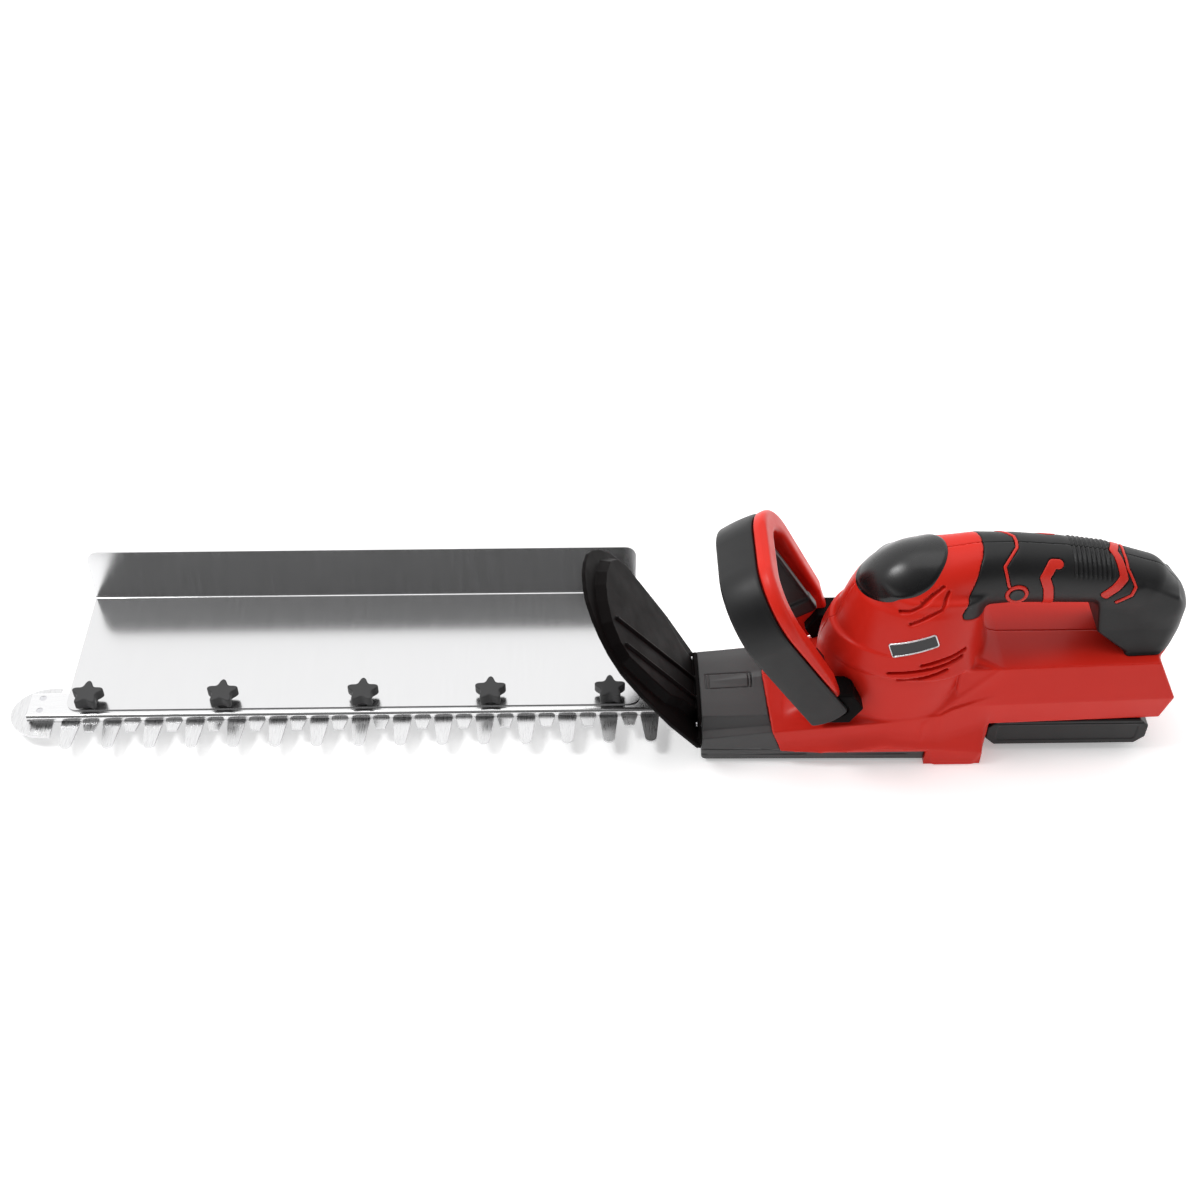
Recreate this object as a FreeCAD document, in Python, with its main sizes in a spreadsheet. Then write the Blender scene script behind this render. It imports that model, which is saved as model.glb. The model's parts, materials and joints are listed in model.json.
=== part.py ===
"""Cordless hedge trimmer with a clip-on sweeper plate, as an assembly of separate pieces.

Frame: +Z up, the blade points to -X, the rear handle to +X.  The origin is the centre of the flat
face that the tool rests on, on the tool's middle plane.  All lengths are in millimetres.
"""
import FreeCAD, Part
import math
import os
import re

import Sketcher

DOC = FreeCAD.newDocument("hedge_trimmer")
Vector = FreeCAD.Vector

# ---------------------------------------------------------------- driving dimensions
DIMENSIONS = {
    # blade assembly
    "tooth_pitch": 31.0, "tooth_count": 15, "first_tooth_x": -580.0,
    "comb_low": 12.5, "comb_thick": 2.0, "blade_half": 11.0,
    "tooth_reach": 37.0, "tooth_root": 14.5, "tooth_neck": 8.8,
    "cutter_low": 14.7, "cutter_thick": 1.6, "cutter_reach": 22.5, "cutter_root": 14.0, "cutter_tip": 7.0,
    "stroke_half": 8.0,
    "bar_low": 16.5, "bar_thick": 5.0, "bar_half": 12.5, "bar_left": -612.0, "bar_right": -48.0,
    "nose_left": -628.0, "nose_right": -594.0, "nose_half": 24.0, "nose_round": 28.5, "nose_thick": 2.0,
    "spacer_left": -613.0, "spacer_right": -599.0, "spacer_half": 9.0,
    "bolt_bore": 2.55, "bolt_shank": 2.5, "nut_flat": 4.0, "nut_thick": 3.0,
    "nose_bolt_x": -603.0, "nose_bolt_y": 6.0,
    "bolt_first_x": -516.0, "bolt_step": 98.0, "bolt_count": 4,
    # sweeper plate and its knobs
    "sheet_thick": 1.0, "sweeper_left": -584.0, "sweeper_long": 431.0, "sweeper_front": -7.0,
    "sweeper_crease": 113.0, "flange_high": 46.5, "flange_lean": 4.0,
    "corner_round": 9.0, "bend_round": 2.0,
    "stud_radius": 2.5, "stud_hole": 2.8, "stud_top": 32.0, "knob_bore": 2.55, "knob_gap": 0.3,
    "knob_hub_radius": 6.0, "knob_hub_high": 4.0, "knob_star_high": 8.0, "knob_tip": 11.7,
    "knob_tip_round": 2.9, "knob_valley": 7.4,
    "knob_a_x": -566.6, "knob_b_x": -466.0, "knob_c_x": -361.0, "knob_d_x": -265.4, "knob_e_x": -175.8,
    # gear case and bottom cover
    "case_front": -109.0, "case_rear": -46.0, "seam_foot": -50.8, "seam_slope": 0.385,
    "wall": 3.0, "cover_rear": 56.0, "cover_high": 14.0, "cover_floor": 4.0,
    "slot_half": 14.0, "slot_low": 12.0, "slot_high": 22.2,
    "mount_bolt_first": -96.0, "mount_bolt_step": 34.0, "mount_boss_half": 12.0,
    # motor housing
    "dome_foot": 50.0, "dome_x": 48.0, "dome_z": 84.0,
    "dome_long": 62.0, "dome_wide": 46.0, "dome_tall": 86.0,
    "chassis_front": -66.0, "chassis_rear": 101.5, "dome_rear": 83.0, "neck_rear": 86.0,
    "cap_tilt": -31.0, "cap_long": 34.0, "cap_wide": 26.0, "cap_x": 34.0, "cap_z": 141.0, "cap_proud": 1.2,
    "label_x": 35.5, "label_z": 119.5, "label_long": 34.0, "label_high": 10.0, "label_tilt": -12.0,
    "vent_x": 21.0, "vent_z": 96.0, "vent_step": 6.0, "vent_rise": -16.0, "vent_thick": 2.6,
    # battery bay
    "bay_left": 80.0, "bay_top_end": 217.0, "bay_belt_end": 233.0, "bay_low_end": 228.0,
    "bay_low": 33.0, "bay_belt": 57.0, "bay_top": 90.0,
    "bay_half_low": 40.0, "bay_half_belt": 44.0, "bay_half_top": 38.0,
    "bay_end_taper": 4.0, "bay_belt_taper": 6.0,
    "channel_half": 27.0, "channel_top": 46.0, "channel_left": 104.0,
    # battery pack
    "pack_left": 102.5, "pack_long": 119.0, "pack_half": 38.0, "pack_low": 7.0, "pack_top": 32.6,
    "pack_wall": 2.0, "rail_half": 26.5, "rail_left": 116.0, "rail_right": 214.0, "rail_top": 45.5,
    "cell_radius": 9.2, "cell_long": 65.0, "cell_step": 18.8, "cell_first_x": 124.4, "cell_count": 5,
    "latch_half": 10.0, "latch_low": 14.0, "latch_high": 22.0, "latch_deep": 6.0, "latch_proud": 3.0,
    "latch_gap": 0.4,
    # rear handle and trigger
    "grip_wall": 4.0, "trigger_left": 110.0, "trigger_right": 146.0,
    "trigger_half": 6.0, "trigger_low": 125.0,
    "trigger_high": 141.0, "flange_reach": 3.0, "flange_thick": 2.0,
    "trigger_travel": 5.0, "slide_gap": 0.4,
    "switch_gap": 1.0, "switch_high": 12.0,
    "button_x": 104.8, "button_z": 150.0, "button_radius": 5.0, "button_out": 25.0, "button_in": 9.0,
    "ring_radius": 7.9, "ring_thick": 3.0,
    # guard and front handle
    "lean": 32.0, "guard_foot_x": -118.0, "guard_foot_z": 26.0, "guard_half": 57.5, "guard_shoulder": 98.0,
    "guard_top": 151.5, "guard_foot_half": 43.0, "guard_thick": 3.0, "guard_rim": 5.0, "guard_flange": 3.0,
    "guard_screw_y": 33.0, "guard_screw_z": 28.0, "guard_screw_radius": 2.0, "guard_screw_long": 8.0,
    "loop_foot_x": -31.0, "loop_foot_z": 47.8, "loop_half": 60.0, "loop_foot_half": 55.0,
    "loop_top": 132.0, "loop_round": 44.0, "strap_thick": 5.0, "strap_wide": 29.0,
    "loop_thick": 13.0, "loop_wide": 36.0, "loop_inset": 2.0, "loop_lean": 31.0,
    "lever_thick": 8.0, "lever_wide": 18.0, "lever_travel": 5.0, "lever_foot": 31.0, "lever_offset": 11.0,
    "socket_radius": 17.0, "socket_x": -12.0, "socket_z": 62.0, "socket_in": 30.0, "socket_out": 52.0,
    # drive train
    "motor_x": 50.0, "motor_radius": 21.0, "motor_low": 59.0, "motor_high": 119.0,
    "shaft_radius": 2.5, "shaft_bore": 2.55, "shaft_low": 39.0, "shaft_high": 112.0,
    "wheel_x": 15.0, "gear_module": 1.25, "pinion_teeth": 10, "wheel_teeth": 46,
    "gear_low": 42.0, "gear_thick": 8.0, "mesh_gap": 0.4, "axle_radius": 4.0,
    "bush_outer": 6.0, "bush_bore": 4.05, "crank_pin": 4.0,
    "crank_low": 13.0, "plate_low": 56.0, "plate_thick": 3.0, "plate_half": 27.0,
    "plate_left": 2.0, "plate_right": 78.0, "yoke_half_x": 21.0, "yoke_half_y": 13.0, "yoke_rim": 8.0,
}

SHEET = DOC.addObject("Spreadsheet::Sheet", "dims")
for line, (word, amount) in enumerate(DIMENSIONS.items(), start=1):
    SHEET.set(f"A{line}", word)
    SHEET.set(f"B{line}", str(amount))
    SHEET.setAlias(f"B{line}", word)
DOC.recompute()

WORDS = re.compile(r"\b(" + "|".join(sorted(DIMENSIONS, key=len, reverse=True)) + r")\b")
NODES = []


def full(expression):
    """The expression with every dimension's name pointing at the sheet."""
    return WORDS.sub(r"dims.\1", str(expression))


def size(expression):
    """The value of an expression on the sheet, as a number."""
    found = SHEET.evalExpression(full(expression))
    return float(getattr(found, "Value", found))


def bind(thing, prop, expression):
    """Tie one property to the sheet, or set it where it is a plain number."""
    thing.setExpression(prop, full(expression))


def keep(thing):
    """Mark an object as a sub-part that gets a file of its own."""
    thing.Label = thing.Name
    NODES.append(thing)
    return thing


# ---------------------------------------------------------------- primitives and booleans
def box(name, low, high):
    """Box between two corners, each given as three expressions."""
    thing = DOC.addObject("Part::Box", name)
    for prop, axis, start, end in zip(("Length", "Width", "Height"), "xyz", low, high):
        bind(thing, prop, f"({end}) - ({start})")
        bind(thing, f"Placement.Base.{axis}", start)
    return thing


TURNS = {
    "x": FreeCAD.Rotation(Vector(0, 1, 0), 90),
    "y": FreeCAD.Rotation(Vector(1, 0, 0), -90),
    "z": FreeCAD.Rotation(),
}


def cylinder(name, radius, start, high, axis="z"):
    """Cylinder from a start point along one axis, with radius and height as expressions."""
    thing = DOC.addObject("Part::Cylinder", name)
    thing.Placement = FreeCAD.Placement(Vector(), TURNS[axis])
    bind(thing, "Radius", radius)
    bind(thing, "Height", high)
    for letter, place in zip("xyz", start):
        bind(thing, f"Placement.Base.{letter}", place)
    return thing


def fuse(name, *parts):
    thing = DOC.addObject("Part::MultiFuse", name)
    thing.Shapes = list(parts)
    return thing


def cut(name, base, *tools):
    tool = tools[0] if len(tools) == 1 else fuse(name + "_tools", *tools)
    thing = DOC.addObject("Part::Cut", name)
    thing.Base = base
    thing.Tool = tool
    return thing


def group(name, parts):
    """Identical pieces kept in one node as separate solids."""
    thing = DOC.addObject("Part::Compound", name)
    thing.Links = list(parts)
    return thing


def feature(name, shape):
    thing = DOC.addObject("Part::Feature", name)
    thing.Shape = shape
    return thing


# ---------------------------------------------------------------- part design helpers
def new_body(name):
    return DOC.addObject("PartDesign::Body", name)


def origin_item(body, role):
    return next(item for item in body.Origin.OriginFeatures if item.Role == role)


def new_sketch(body, name, role="XY_Plane", height=None):
    """Sketch on one of the body's own origin planes, lifted by an expression."""
    sketch = body.newObject("Sketcher::SketchObject", name)
    sketch.AttachmentSupport = [(origin_item(body, role), "")]
    sketch.MapMode = "FlatFace"
    if height is not None:
        bind(sketch, "AttachmentOffset.Base.z", height)
    return sketch


def draw_path(sketch, path):
    """Closed outline: a list of points, where ("arc", middle) bends the run that it stands in."""
    points = [item for item in path if item[0] != "arc"]
    bends = {}
    count = 0
    for item in path:
        if item[0] == "arc":
            bends[count - 1] = item[1]
        else:
            count += 1
    first = sketch.GeometryCount
    for index, start in enumerate(points):
        end = points[(index + 1) % len(points)]
        a, b = Vector(*start, 0), Vector(*end, 0)
        if index in bends:
            sketch.addGeometry(Part.Arc(a, Vector(*bends[index], 0), b), False)
        else:
            sketch.addGeometry(Part.LineSegment(a, b), False)
    return first


def draw_rectangle(sketch, left, right, low, high):
    """Rectangle whose four sides are tied to expressions."""
    west, east, south, north = (size(edge) for edge in (left, right, low, high))
    corners = [(west, south), (east, south), (east, north), (west, north)]
    first = draw_path(sketch, corners)
    for index in range(4):
        sketch.addConstraint(Sketcher.Constraint("Coincident", first + index, 2, first + (index + 1) % 4, 1))
    for index, kind in enumerate(("Horizontal", "Vertical", "Horizontal", "Vertical")):
        sketch.addConstraint(Sketcher.Constraint(kind, first + index))
    sides = (("DistanceX", 0, left), ("DistanceY", 0, low), ("DistanceX", 2, right), ("DistanceY", 2, high))
    for kind, corner, place in sides:
        number = sketch.addConstraint(Sketcher.Constraint(kind, -1, 1, first + corner, 1, size(place)))
        sketch.setExpression(f"Constraints[{number}]", full(place))


def draw_circle(sketch, x, y, radius):
    circle = Part.Circle(Vector(size(x), size(y), 0), Vector(0, 0, 1), size(radius))
    number = sketch.addGeometry(circle, False)
    tied = sketch.addConstraint(Sketcher.Constraint("Radius", number, size(radius)))
    sketch.setExpression(f"Constraints[{tied}]", full(radius))


def pad(body, sketch, name, length):
    thing = body.newObject("PartDesign::Pad", name)
    thing.Profile = sketch
    bind(thing, "Length", length)
    body.Tip = thing
    return thing


def pocket_up(body, sketch, name, length):
    """Pocket that cuts towards +Z from its sketch."""
    thing = body.newObject("PartDesign::Pocket", name)
    thing.Profile = sketch
    thing.Reversed = True
    bind(thing, "Length", length)
    body.Tip = thing
    DOC.recompute()
    return thing


def row_pattern(body, source, name, length, occurrences):
    thing = body.newObject("PartDesign::LinearPattern", name)
    thing.Originals = [source]
    thing.Direction = (origin_item(body, "X_Axis"), [""])
    bind(thing, "Length", length)
    bind(thing, "Occurrences", occurrences)
    body.Tip = thing
    return thing


def loft(sections, ruled=True):
    """Solid through closed polygons, each a list of points."""
    wires = [Part.makePolygon([Vector(*p) for p in points] + [Vector(*points[0])]) for points in sections]
    return Part.makeLoft(wires, True, ruled)


def above_ground(solid):
    """The part of a solid above z 0, which leaves it a plane face to rest on."""
    reach = 1000
    return solid.common(Part.makeBox(2 * reach, 2 * reach, reach, Vector(-reach, -reach, 0)))


def mirrored_section(x, half):
    """Closed section at x from its +Y half, listed from the bottom middle outwards to the top."""
    right = [(x, y, z) for y, z in half]
    left = [(x, -y, z) for y, z in reversed(half) if y > 0]
    return right + left


# ---------------------------------------------------------------- blade assembly
KNOB_PLACES = ("knob_a_x", "knob_b_x", "knob_c_x", "knob_d_x", "knob_e_x")


def blade_bolt_places():
    places = [f"bolt_first_x + {index} * bolt_step" for index in range(int(size("bolt_count")))]
    return places + ["mount_bolt_first", "mount_bolt_first + mount_bolt_step"]


def tooth_path(root, tip, reach, side, rounded):
    """Outline of one tooth from the blade's edge, on the +Y side (1) or the -Y side (-1)."""
    start = size("blade_half") - 1
    if rounded:
        straight = reach - tip / 2
        top = [(tip / 2, side * straight), ("arc", (0, side * reach)), (-tip / 2, side * straight)]
    else:
        top = [(tip / 2, side * reach), (-tip / 2, side * reach)]
    return [(-root / 2, side * start), (root / 2, side * start)] + top


def shifted(path, x):
    moved = []
    for item in path:
        if item[0] == "arc":
            moved.append(("arc", (item[1][0] + x, item[1][1])))
        else:
            moved.append((item[0] + x, item[1]))
    return moved


def blade(name, low, thick, left, right, first_x, count, tooth):
    """Flat blade: a strip with the same tooth repeated along both edges."""
    body = new_body(name)
    strip = new_sketch(body, name + "_strip", height=low)
    draw_rectangle(strip, left, right, "-blade_half", "blade_half")
    pad(body, strip, name + "_strip_pad", thick)
    teeth = new_sketch(body, name + "_tooth", height=low)
    for side in (1, -1):
        draw_path(teeth, shifted(tooth_path(side=side, **tooth), size(first_x)))
    source = pad(body, teeth, name + "_tooth_pad", thick)
    row_pattern(body, source, name + "_teeth", f"({count} - 1) * tooth_pitch", count)
    return body


def comb_blade():
    tooth = dict(root=size("tooth_root"), tip=size("tooth_neck"), reach=size("tooth_reach"), rounded=True)
    body = blade("comb_blade", "comb_low", "comb_thick", "nose_bolt_x - 6", "bar_right",
                 "first_tooth_x", "tooth_count", tooth)
    holes = new_sketch(body, "comb_holes", height="comb_low")
    for place in blade_bolt_places():
        draw_circle(holes, place, "0", "bolt_bore")
    for side in (1, -1):
        draw_circle(holes, "nose_bolt_x", f"{side} * nose_bolt_y", "bolt_bore")
    pocket_up(body, holes, "comb_hole_pocket", "comb_thick")
    return keep(body)


def cutter_blade():
    tooth = dict(root=size("cutter_root"), tip=size("cutter_tip"), reach=size("cutter_reach"), rounded=False)
    body = blade("cutter_blade", "cutter_low", "cutter_thick", "first_tooth_x - 5", "wheel_x - yoke_half_x",
                 "first_tooth_x + tooth_pitch / 2", "tooth_count - 1", tooth)
    slots = new_sketch(body, "cutter_slots", height="cutter_low")
    reach = "(stroke_half + bolt_shank + 0.8)"
    for place in blade_bolt_places():
        draw_rectangle(slots, f"{place} - {reach}", f"{place} + {reach}",
                       "-(bolt_shank + 0.4)", "bolt_shank + 0.4")
    pocket_up(body, slots, "cutter_slot_pocket", "cutter_thick")
    yoke = new_sketch(body, "yoke", height="cutter_low")
    draw_rectangle(yoke, "wheel_x - yoke_half_x - yoke_rim", "wheel_x + yoke_half_x + yoke_rim",
                   "-(yoke_half_y + yoke_rim)", "yoke_half_y + yoke_rim")
    draw_rectangle(yoke, "wheel_x - yoke_half_x", "wheel_x + yoke_half_x", "-yoke_half_y", "yoke_half_y")
    pad(body, yoke, "yoke_pad", "cutter_thick")
    return keep(body)


def guide_bar():
    body = new_body("guide_bar")
    outline = new_sketch(body, "bar_outline", height="bar_low")
    draw_rectangle(outline, "bar_left", "bar_right", "-bar_half", "bar_half")
    solid = pad(body, outline, "bar_pad", "bar_thick")
    DOC.recompute()
    low, high = size("bar_low"), size("bar_low + bar_thick")
    long_edges = [f"Edge{number}" for number, edge in enumerate(solid.Shape.Edges, start=1)
                  if edge.BoundBox.XLength > 100 and abs(edge.BoundBox.ZMin - high) < 0.01]
    rolled = body.newObject("PartDesign::Fillet", "bar_rolled_edges")
    rolled.Base = (solid, long_edges)
    bind(rolled, "Radius", "bar_thick * 0.6")
    body.Tip = rolled
    holes = new_sketch(body, "bar_holes", height="bar_low")
    for place in blade_bolt_places():
        draw_circle(holes, place, "0", "bolt_bore")
    for place in KNOB_PLACES:
        draw_circle(holes, place, "0", "stud_radius")
    for side in (1, -1):
        draw_circle(holes, "nose_bolt_x", f"{side} * nose_bolt_y", "bolt_bore")
    pocket_up(body, holes, "bar_hole_pocket", f"{high - low}")
    return keep(body)


def nose_guard():
    """Rounded tip plate: half an ellipse in front of a short straight part."""
    back, half, reach = size("nose_right"), size("nose_half"), size("nose_round")
    middle = size("nose_left") + reach
    ellipse = Part.Ellipse(Vector(middle, 0, 0), reach, half)
    front = Part.ArcOfEllipse(ellipse, math.pi / 2, 3 * math.pi / 2).toShape()
    corners = [Vector(x, y, 0) for x, y in ((middle, -half), (back, -half), (back, half), (middle, half))]
    sides = [Part.makeLine(a, b) for a, b in zip(corners, corners[1:])]
    face = Part.Face(Part.Wire(Part.__sortEdges__([front] + sides)))
    plate = feature("nose_plate", face.extrude(Vector(0, 0, size("nose_thick"))))
    plate.Placement = FreeCAD.Placement(Vector(0, 0, size("comb_low - nose_thick")), FreeCAD.Rotation())
    holes = [cylinder(f"nose_hole_{side}", "bolt_bore", ("nose_bolt_x", f"{side} * nose_bolt_y", "0"), "20")
             for side in (1, -1)]
    return keep(cut("nose_guard", plate, *holes))


def bar_spacer():
    block = box("spacer_block", ("spacer_left", "-spacer_half", "comb_low + comb_thick"),
                ("spacer_right", "spacer_half", "bar_low"))
    holes = [cylinder(f"spacer_hole_{side}", "bolt_bore", ("nose_bolt_x", f"{side} * nose_bolt_y", "0"), "20")
             for side in (1, -1)]
    return keep(cut("bar_spacer", block, *holes))


def hexagon(name, flat, x, y, low, high):
    """Hexagonal prism of a given half width across flats."""
    thing = DOC.addObject("Part::Prism", name)
    thing.Polygon = 6
    bind(thing, "Circumradius", f"({flat}) / 0.866")
    bind(thing, "Height", f"({high}) - ({low})")
    for letter, place in zip("xyz", (x, y, low)):
        bind(thing, f"Placement.Base.{letter}", place)
    return thing


def blade_fasteners():
    """Flush bolts through the bar and both blades, with a nut under each."""
    top = "bar_low + bar_thick - 0.2"
    places = [(place, "0", "comb_low") for place in blade_bolt_places()[:-2]]
    places += [("nose_bolt_x", f"{side} * nose_bolt_y", "comb_low - nose_thick") for side in (1, -1)]
    bolts = []
    nuts = []
    for index, (x, y, seat) in enumerate(places):
        bolts.append(cylinder(f"blade_bolt_{index}", "bolt_shank", (x, y, f"{seat} - nut_thick"),
                              f"({top}) - ({seat} - nut_thick)"))
        blank = hexagon(f"nut_blank_{index}", "nut_flat", x, y, f"{seat} - nut_thick", seat)
        bore = cylinder(f"nut_bore_{index}", "bolt_bore", (x, y, "0"), "30")
        nuts.append(cut(f"nut_{index}", blank, bore))
    keep(group("blade_bolts", bolts))
    keep(group("blade_nuts", nuts))
    mounts = [cylinder(f"mount_bolt_{index}", "bolt_shank", (place, "0", "cover_floor + 1"),
                       f"({top}) - cover_floor - 1")
              for index, place in enumerate(blade_bolt_places()[-2:])]
    keep(group("bar_mount_bolts", mounts))


# ---------------------------------------------------------------- sweeper plate and knobs
def sweeper_plate():
    """Bent sheet: a flat bottom that lies on the bar and a flange that leans back at its far edge."""
    body = new_body("sweeper_plate")
    low = size("bar_low + bar_thick")
    thick, front, crease = size("sheet_thick"), size("sweeper_front"), size("sweeper_crease")
    lean = math.tan(math.radians(size("flange_lean"))) * size("flange_high")
    top = low + size("flange_high")
    profile = new_sketch(body, "sweeper_profile", "YZ_Plane", "sweeper_left")
    draw_path(profile, [(front, low), (crease + thick, low), (crease + thick + lean, top),
                        (crease + lean, top), (crease, low + thick), (front, low + thick)])
    sheet = pad(body, profile, "sweeper_pad", "sweeper_long")
    DOC.recompute()
    bend = [f"Edge{number}" for number, edge in enumerate(sheet.Shape.Edges, start=1)
            if edge.BoundBox.XLength > 100 and abs(edge.BoundBox.YMin - crease) < 0.01
            and edge.BoundBox.ZMax < low + 2]
    bent = body.newObject("PartDesign::Fillet", "sweeper_bend")
    bent.Base = (sheet, bend)
    bind(bent, "Radius", "bend_round")
    body.Tip = bent
    DOC.recompute()
    corners = [f"Edge{number}" for number, edge in enumerate(bent.Shape.Edges, start=1)
               if edge.Length < 1.5 * thick
               and (edge.BoundBox.YMax < front + 1 or edge.BoundBox.ZMin > top - 1.5)]
    rounded = body.newObject("PartDesign::Fillet", "sweeper_corners")
    rounded.Base = (bent, corners)
    bind(rounded, "Radius", "corner_round")
    body.Tip = rounded
    holes = new_sketch(body, "sweeper_holes", height="bar_low + bar_thick")
    for place in KNOB_PLACES:
        draw_circle(holes, place, "0", "stud_hole")
    pocket_up(body, holes, "sweeper_hole_pocket", "sheet_thick")
    return keep(body)


def star_path(x):
    """Five rounded points with hollow flanks between them, one point towards +Y."""
    tip_round = size("knob_tip_round")
    tip_centre = size("knob_tip") - tip_round
    valley = size("knob_valley")
    path = []
    for point in range(5):
        angle = math.radians(90 + 72 * point)
        out = (math.cos(angle), math.sin(angle))
        across = (-out[1], out[0])
        for side, bend in ((-1, 0), (1, 1)):
            path.append((x + out[0] * tip_centre + side * across[0] * tip_round,
                         out[1] * tip_centre + side * across[1] * tip_round))
            if bend == 0:
                path.append(("arc", (x + out[0] * size("knob_tip"), out[1] * size("knob_tip"))))
        turn = angle + math.radians(36)
        path.append(("arc", (x + math.cos(turn) * valley, math.sin(turn) * valley)))
    return path


def star_knob(name, place):
    """Star knob: a round hub below and a five-pointed head, bored for its stud."""
    body = new_body(name)
    low = "bar_low + bar_thick + sheet_thick + knob_gap"
    hub = new_sketch(body, name + "_hub", height=low)
    draw_circle(hub, place, "0", "knob_hub_radius")
    pad(body, hub, name + "_hub_pad", "knob_hub_high + 1")
    star = new_sketch(body, name + "_star", height=f"{low} + knob_hub_high")
    draw_path(star, star_path(size(place)))
    pad(body, star, name + "_star_pad", "knob_star_high")
    bore = new_sketch(body, name + "_bore", height=low)
    draw_circle(bore, place, "0", "knob_bore")
    pocket_up(body, bore, name + "_bore_pocket", f"stud_top - ({low}) + 0.5")
    return keep(body)


def knobs_and_studs():
    studs = [cylinder(f"stud_{index}", "stud_radius", (place, "0", "bar_low + 0.2"),
                      "stud_top - bar_low - 0.2")
             for index, place in enumerate(KNOB_PLACES)]
    keep(group("sweeper_studs", studs))
    for index, place in enumerate(KNOB_PLACES, start=1):
        star_knob(f"star_knob_{index}", place)


# ---------------------------------------------------------------- gear case and bottom cover
CASE_FRONT_HALF = ((0, 14), (45.5, 14), (44, 24), (37.5, 26), (32.7, 36.3), (21.7, 38), (0, 38))
CASE_REAR_HALF = ((0, 14), (46.5, 14), (45, 31.5), (38.5, 33.5), (31.0, 41), (21.0, 41.8), (0, 41.8))
COVER_FRONT_HALF = ((0, -1), (42, -1), (42, 0), (44, 3), (45.5, 14), (0, 14))
COVER_REAR_HALF = ((0, -1), (45, -1), (45, 0), (47, 3), (47.5, 14), (0, 14))
COVER_HOLLOW_HALF = 39


def inset_half(half, wall):
    """The same half section, thinner by a wall at its sides and top."""
    top = max(z for _, z in half)
    return [(max(y - wall, 0), z - wall if z > top / 2 else z) for y, z in half]


def seam_side(ahead):
    """Block that fills one side of the slanted seam between the gear case and the housing."""
    foot, slope, level = size("seam_foot"), size("seam_slope"), size("cover_high")
    low, high, far = -50, 300, 300
    end = -far if ahead else far
    seam = [(foot - slope * (z - level), z) for z in (low, high)]
    corners = [(end, low)] + seam + [(end, high)]
    face = Part.Face(Part.makePolygon([Vector(x, -far, z) for x, z in corners + corners[:1]]))
    return face.extrude(Vector(0, 2 * far, 0))


def gear_case(screw_holes):
    front, rear, wall = size("case_front"), size("case_rear"), size("wall")
    solid = loft([mirrored_section(front, CASE_FRONT_HALF), mirrored_section(rear, CASE_REAR_HALF)])
    inner = loft([mirrored_section(front + wall, inset_half(CASE_FRONT_HALF, wall)),
                  mirrored_section(rear + wall, inset_half(CASE_REAR_HALF, wall))])
    shell = feature("case_shell", solid.cut(inner).common(seam_side(ahead=True)))
    slot = box("case_slot", ("case_front - 1", "-slot_half", "slot_low"),
               ("case_front + 2 * wall", "slot_half", "slot_high"))
    return keep(cut("gear_case", shell, slot, *screw_holes))


def bottom_cover():
    """Tray under the gears, with a boss that carries the bar and the front face of the tool's base."""
    blank = loft([mirrored_section(size("case_front"), COVER_FRONT_HALF),
                  mirrored_section(size("cover_rear"), COVER_REAR_HALF)])
    outer = feature("cover_outer", above_ground(blank))
    hollow = box("cover_hollow", ("case_front + wall", -COVER_HOLLOW_HALF, "cover_floor"),
                 ("cover_rear - wall", COVER_HOLLOW_HALF, "cover_high + 1"))
    tray = cut("cover_tray", outer, hollow)
    boss = box("cover_boss", ("mount_bolt_first - 10", "-mount_boss_half", "cover_floor - 0.5"),
               ("mount_bolt_first + mount_bolt_step + 10", "mount_boss_half", "comb_low"))
    channel = box("cover_channel", ("case_front - 1", "-slot_half", "slot_low"),
                  ("case_front + wall + 1", "slot_half", "cover_high + 1"))
    holes = [cylinder(f"cover_hole_{index}", "bolt_bore", (place, "0", "cover_floor + 1"), "20")
             for index, place in enumerate(blade_bolt_places()[-2:])]
    return keep(cut("bottom_cover", fuse("cover_with_boss", tray, boss), channel, *holes))


# ---------------------------------------------------------------- motor housing
CHASSIS = (
    (-66.0, ((0, 14), (46.5, 14), (45, 31.5), (38.5, 33.5), (31, 41), (21, 41.8), (0, 41.8))),
    (24.0, ((0, 14), (47, 14), (46.5, 42), (44.5, 47), (42, 66), (26, 86), (0, 88))),
    (56.0, ((0, 14), (47.5, 14), (47, 44), (45.5, 52), (44, 78), (30, 92), (0, 94))),
    (101.5, ((0, 14), (48, 14), (47, 40), (44, 50), (40, 70), (34, 88), (0, 90))),
)


def chassis_shape(inset):
    """Lower body between the gear case and the rear wall; inset makes the hollow inside it."""
    sections = []
    for x, half in CHASSIS:
        place = min(x, size("chassis_rear") - inset)
        points = half if inset == 0 else inset_half(half, inset)
        sections.append(mirrored_section(place, points))
    return loft(sections)


def ellipse_wire(centre, turn, along, across):
    """Ellipse with one axis in the XZ plane and the other along Y."""
    first, second = max(along, across), min(along, across)
    edge = Part.Ellipse(Vector(), first, second).toShape()
    if across > along:
        edge.rotate(Vector(), Vector(0, 0, 1), 90)
    edge.rotate(Vector(), Vector(0, 1, 0), turn)
    edge.translate(Vector(*centre))
    return Part.Wire(edge)


EGG_LEVELS = 8


def egg_shape(centre, long, wide, tall, low):
    """Ellipsoid lofted through level ellipses, from a flat bottom at height low to a small flat top."""
    first = math.asin((low - centre[2]) / tall)
    last = math.radians(82)
    wires = []
    for step in range(EGG_LEVELS + 1):
        angle = first + (last - first) * step / EGG_LEVELS
        edge = Part.Ellipse(Vector(), long * math.cos(angle), wide * math.cos(angle)).toShape()
        edge.translate(Vector(centre[0], centre[1], centre[2] + tall * math.sin(angle)))
        wires.append(Part.Wire(edge))
    return Part.makeLoft(wires, True, False)


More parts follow.
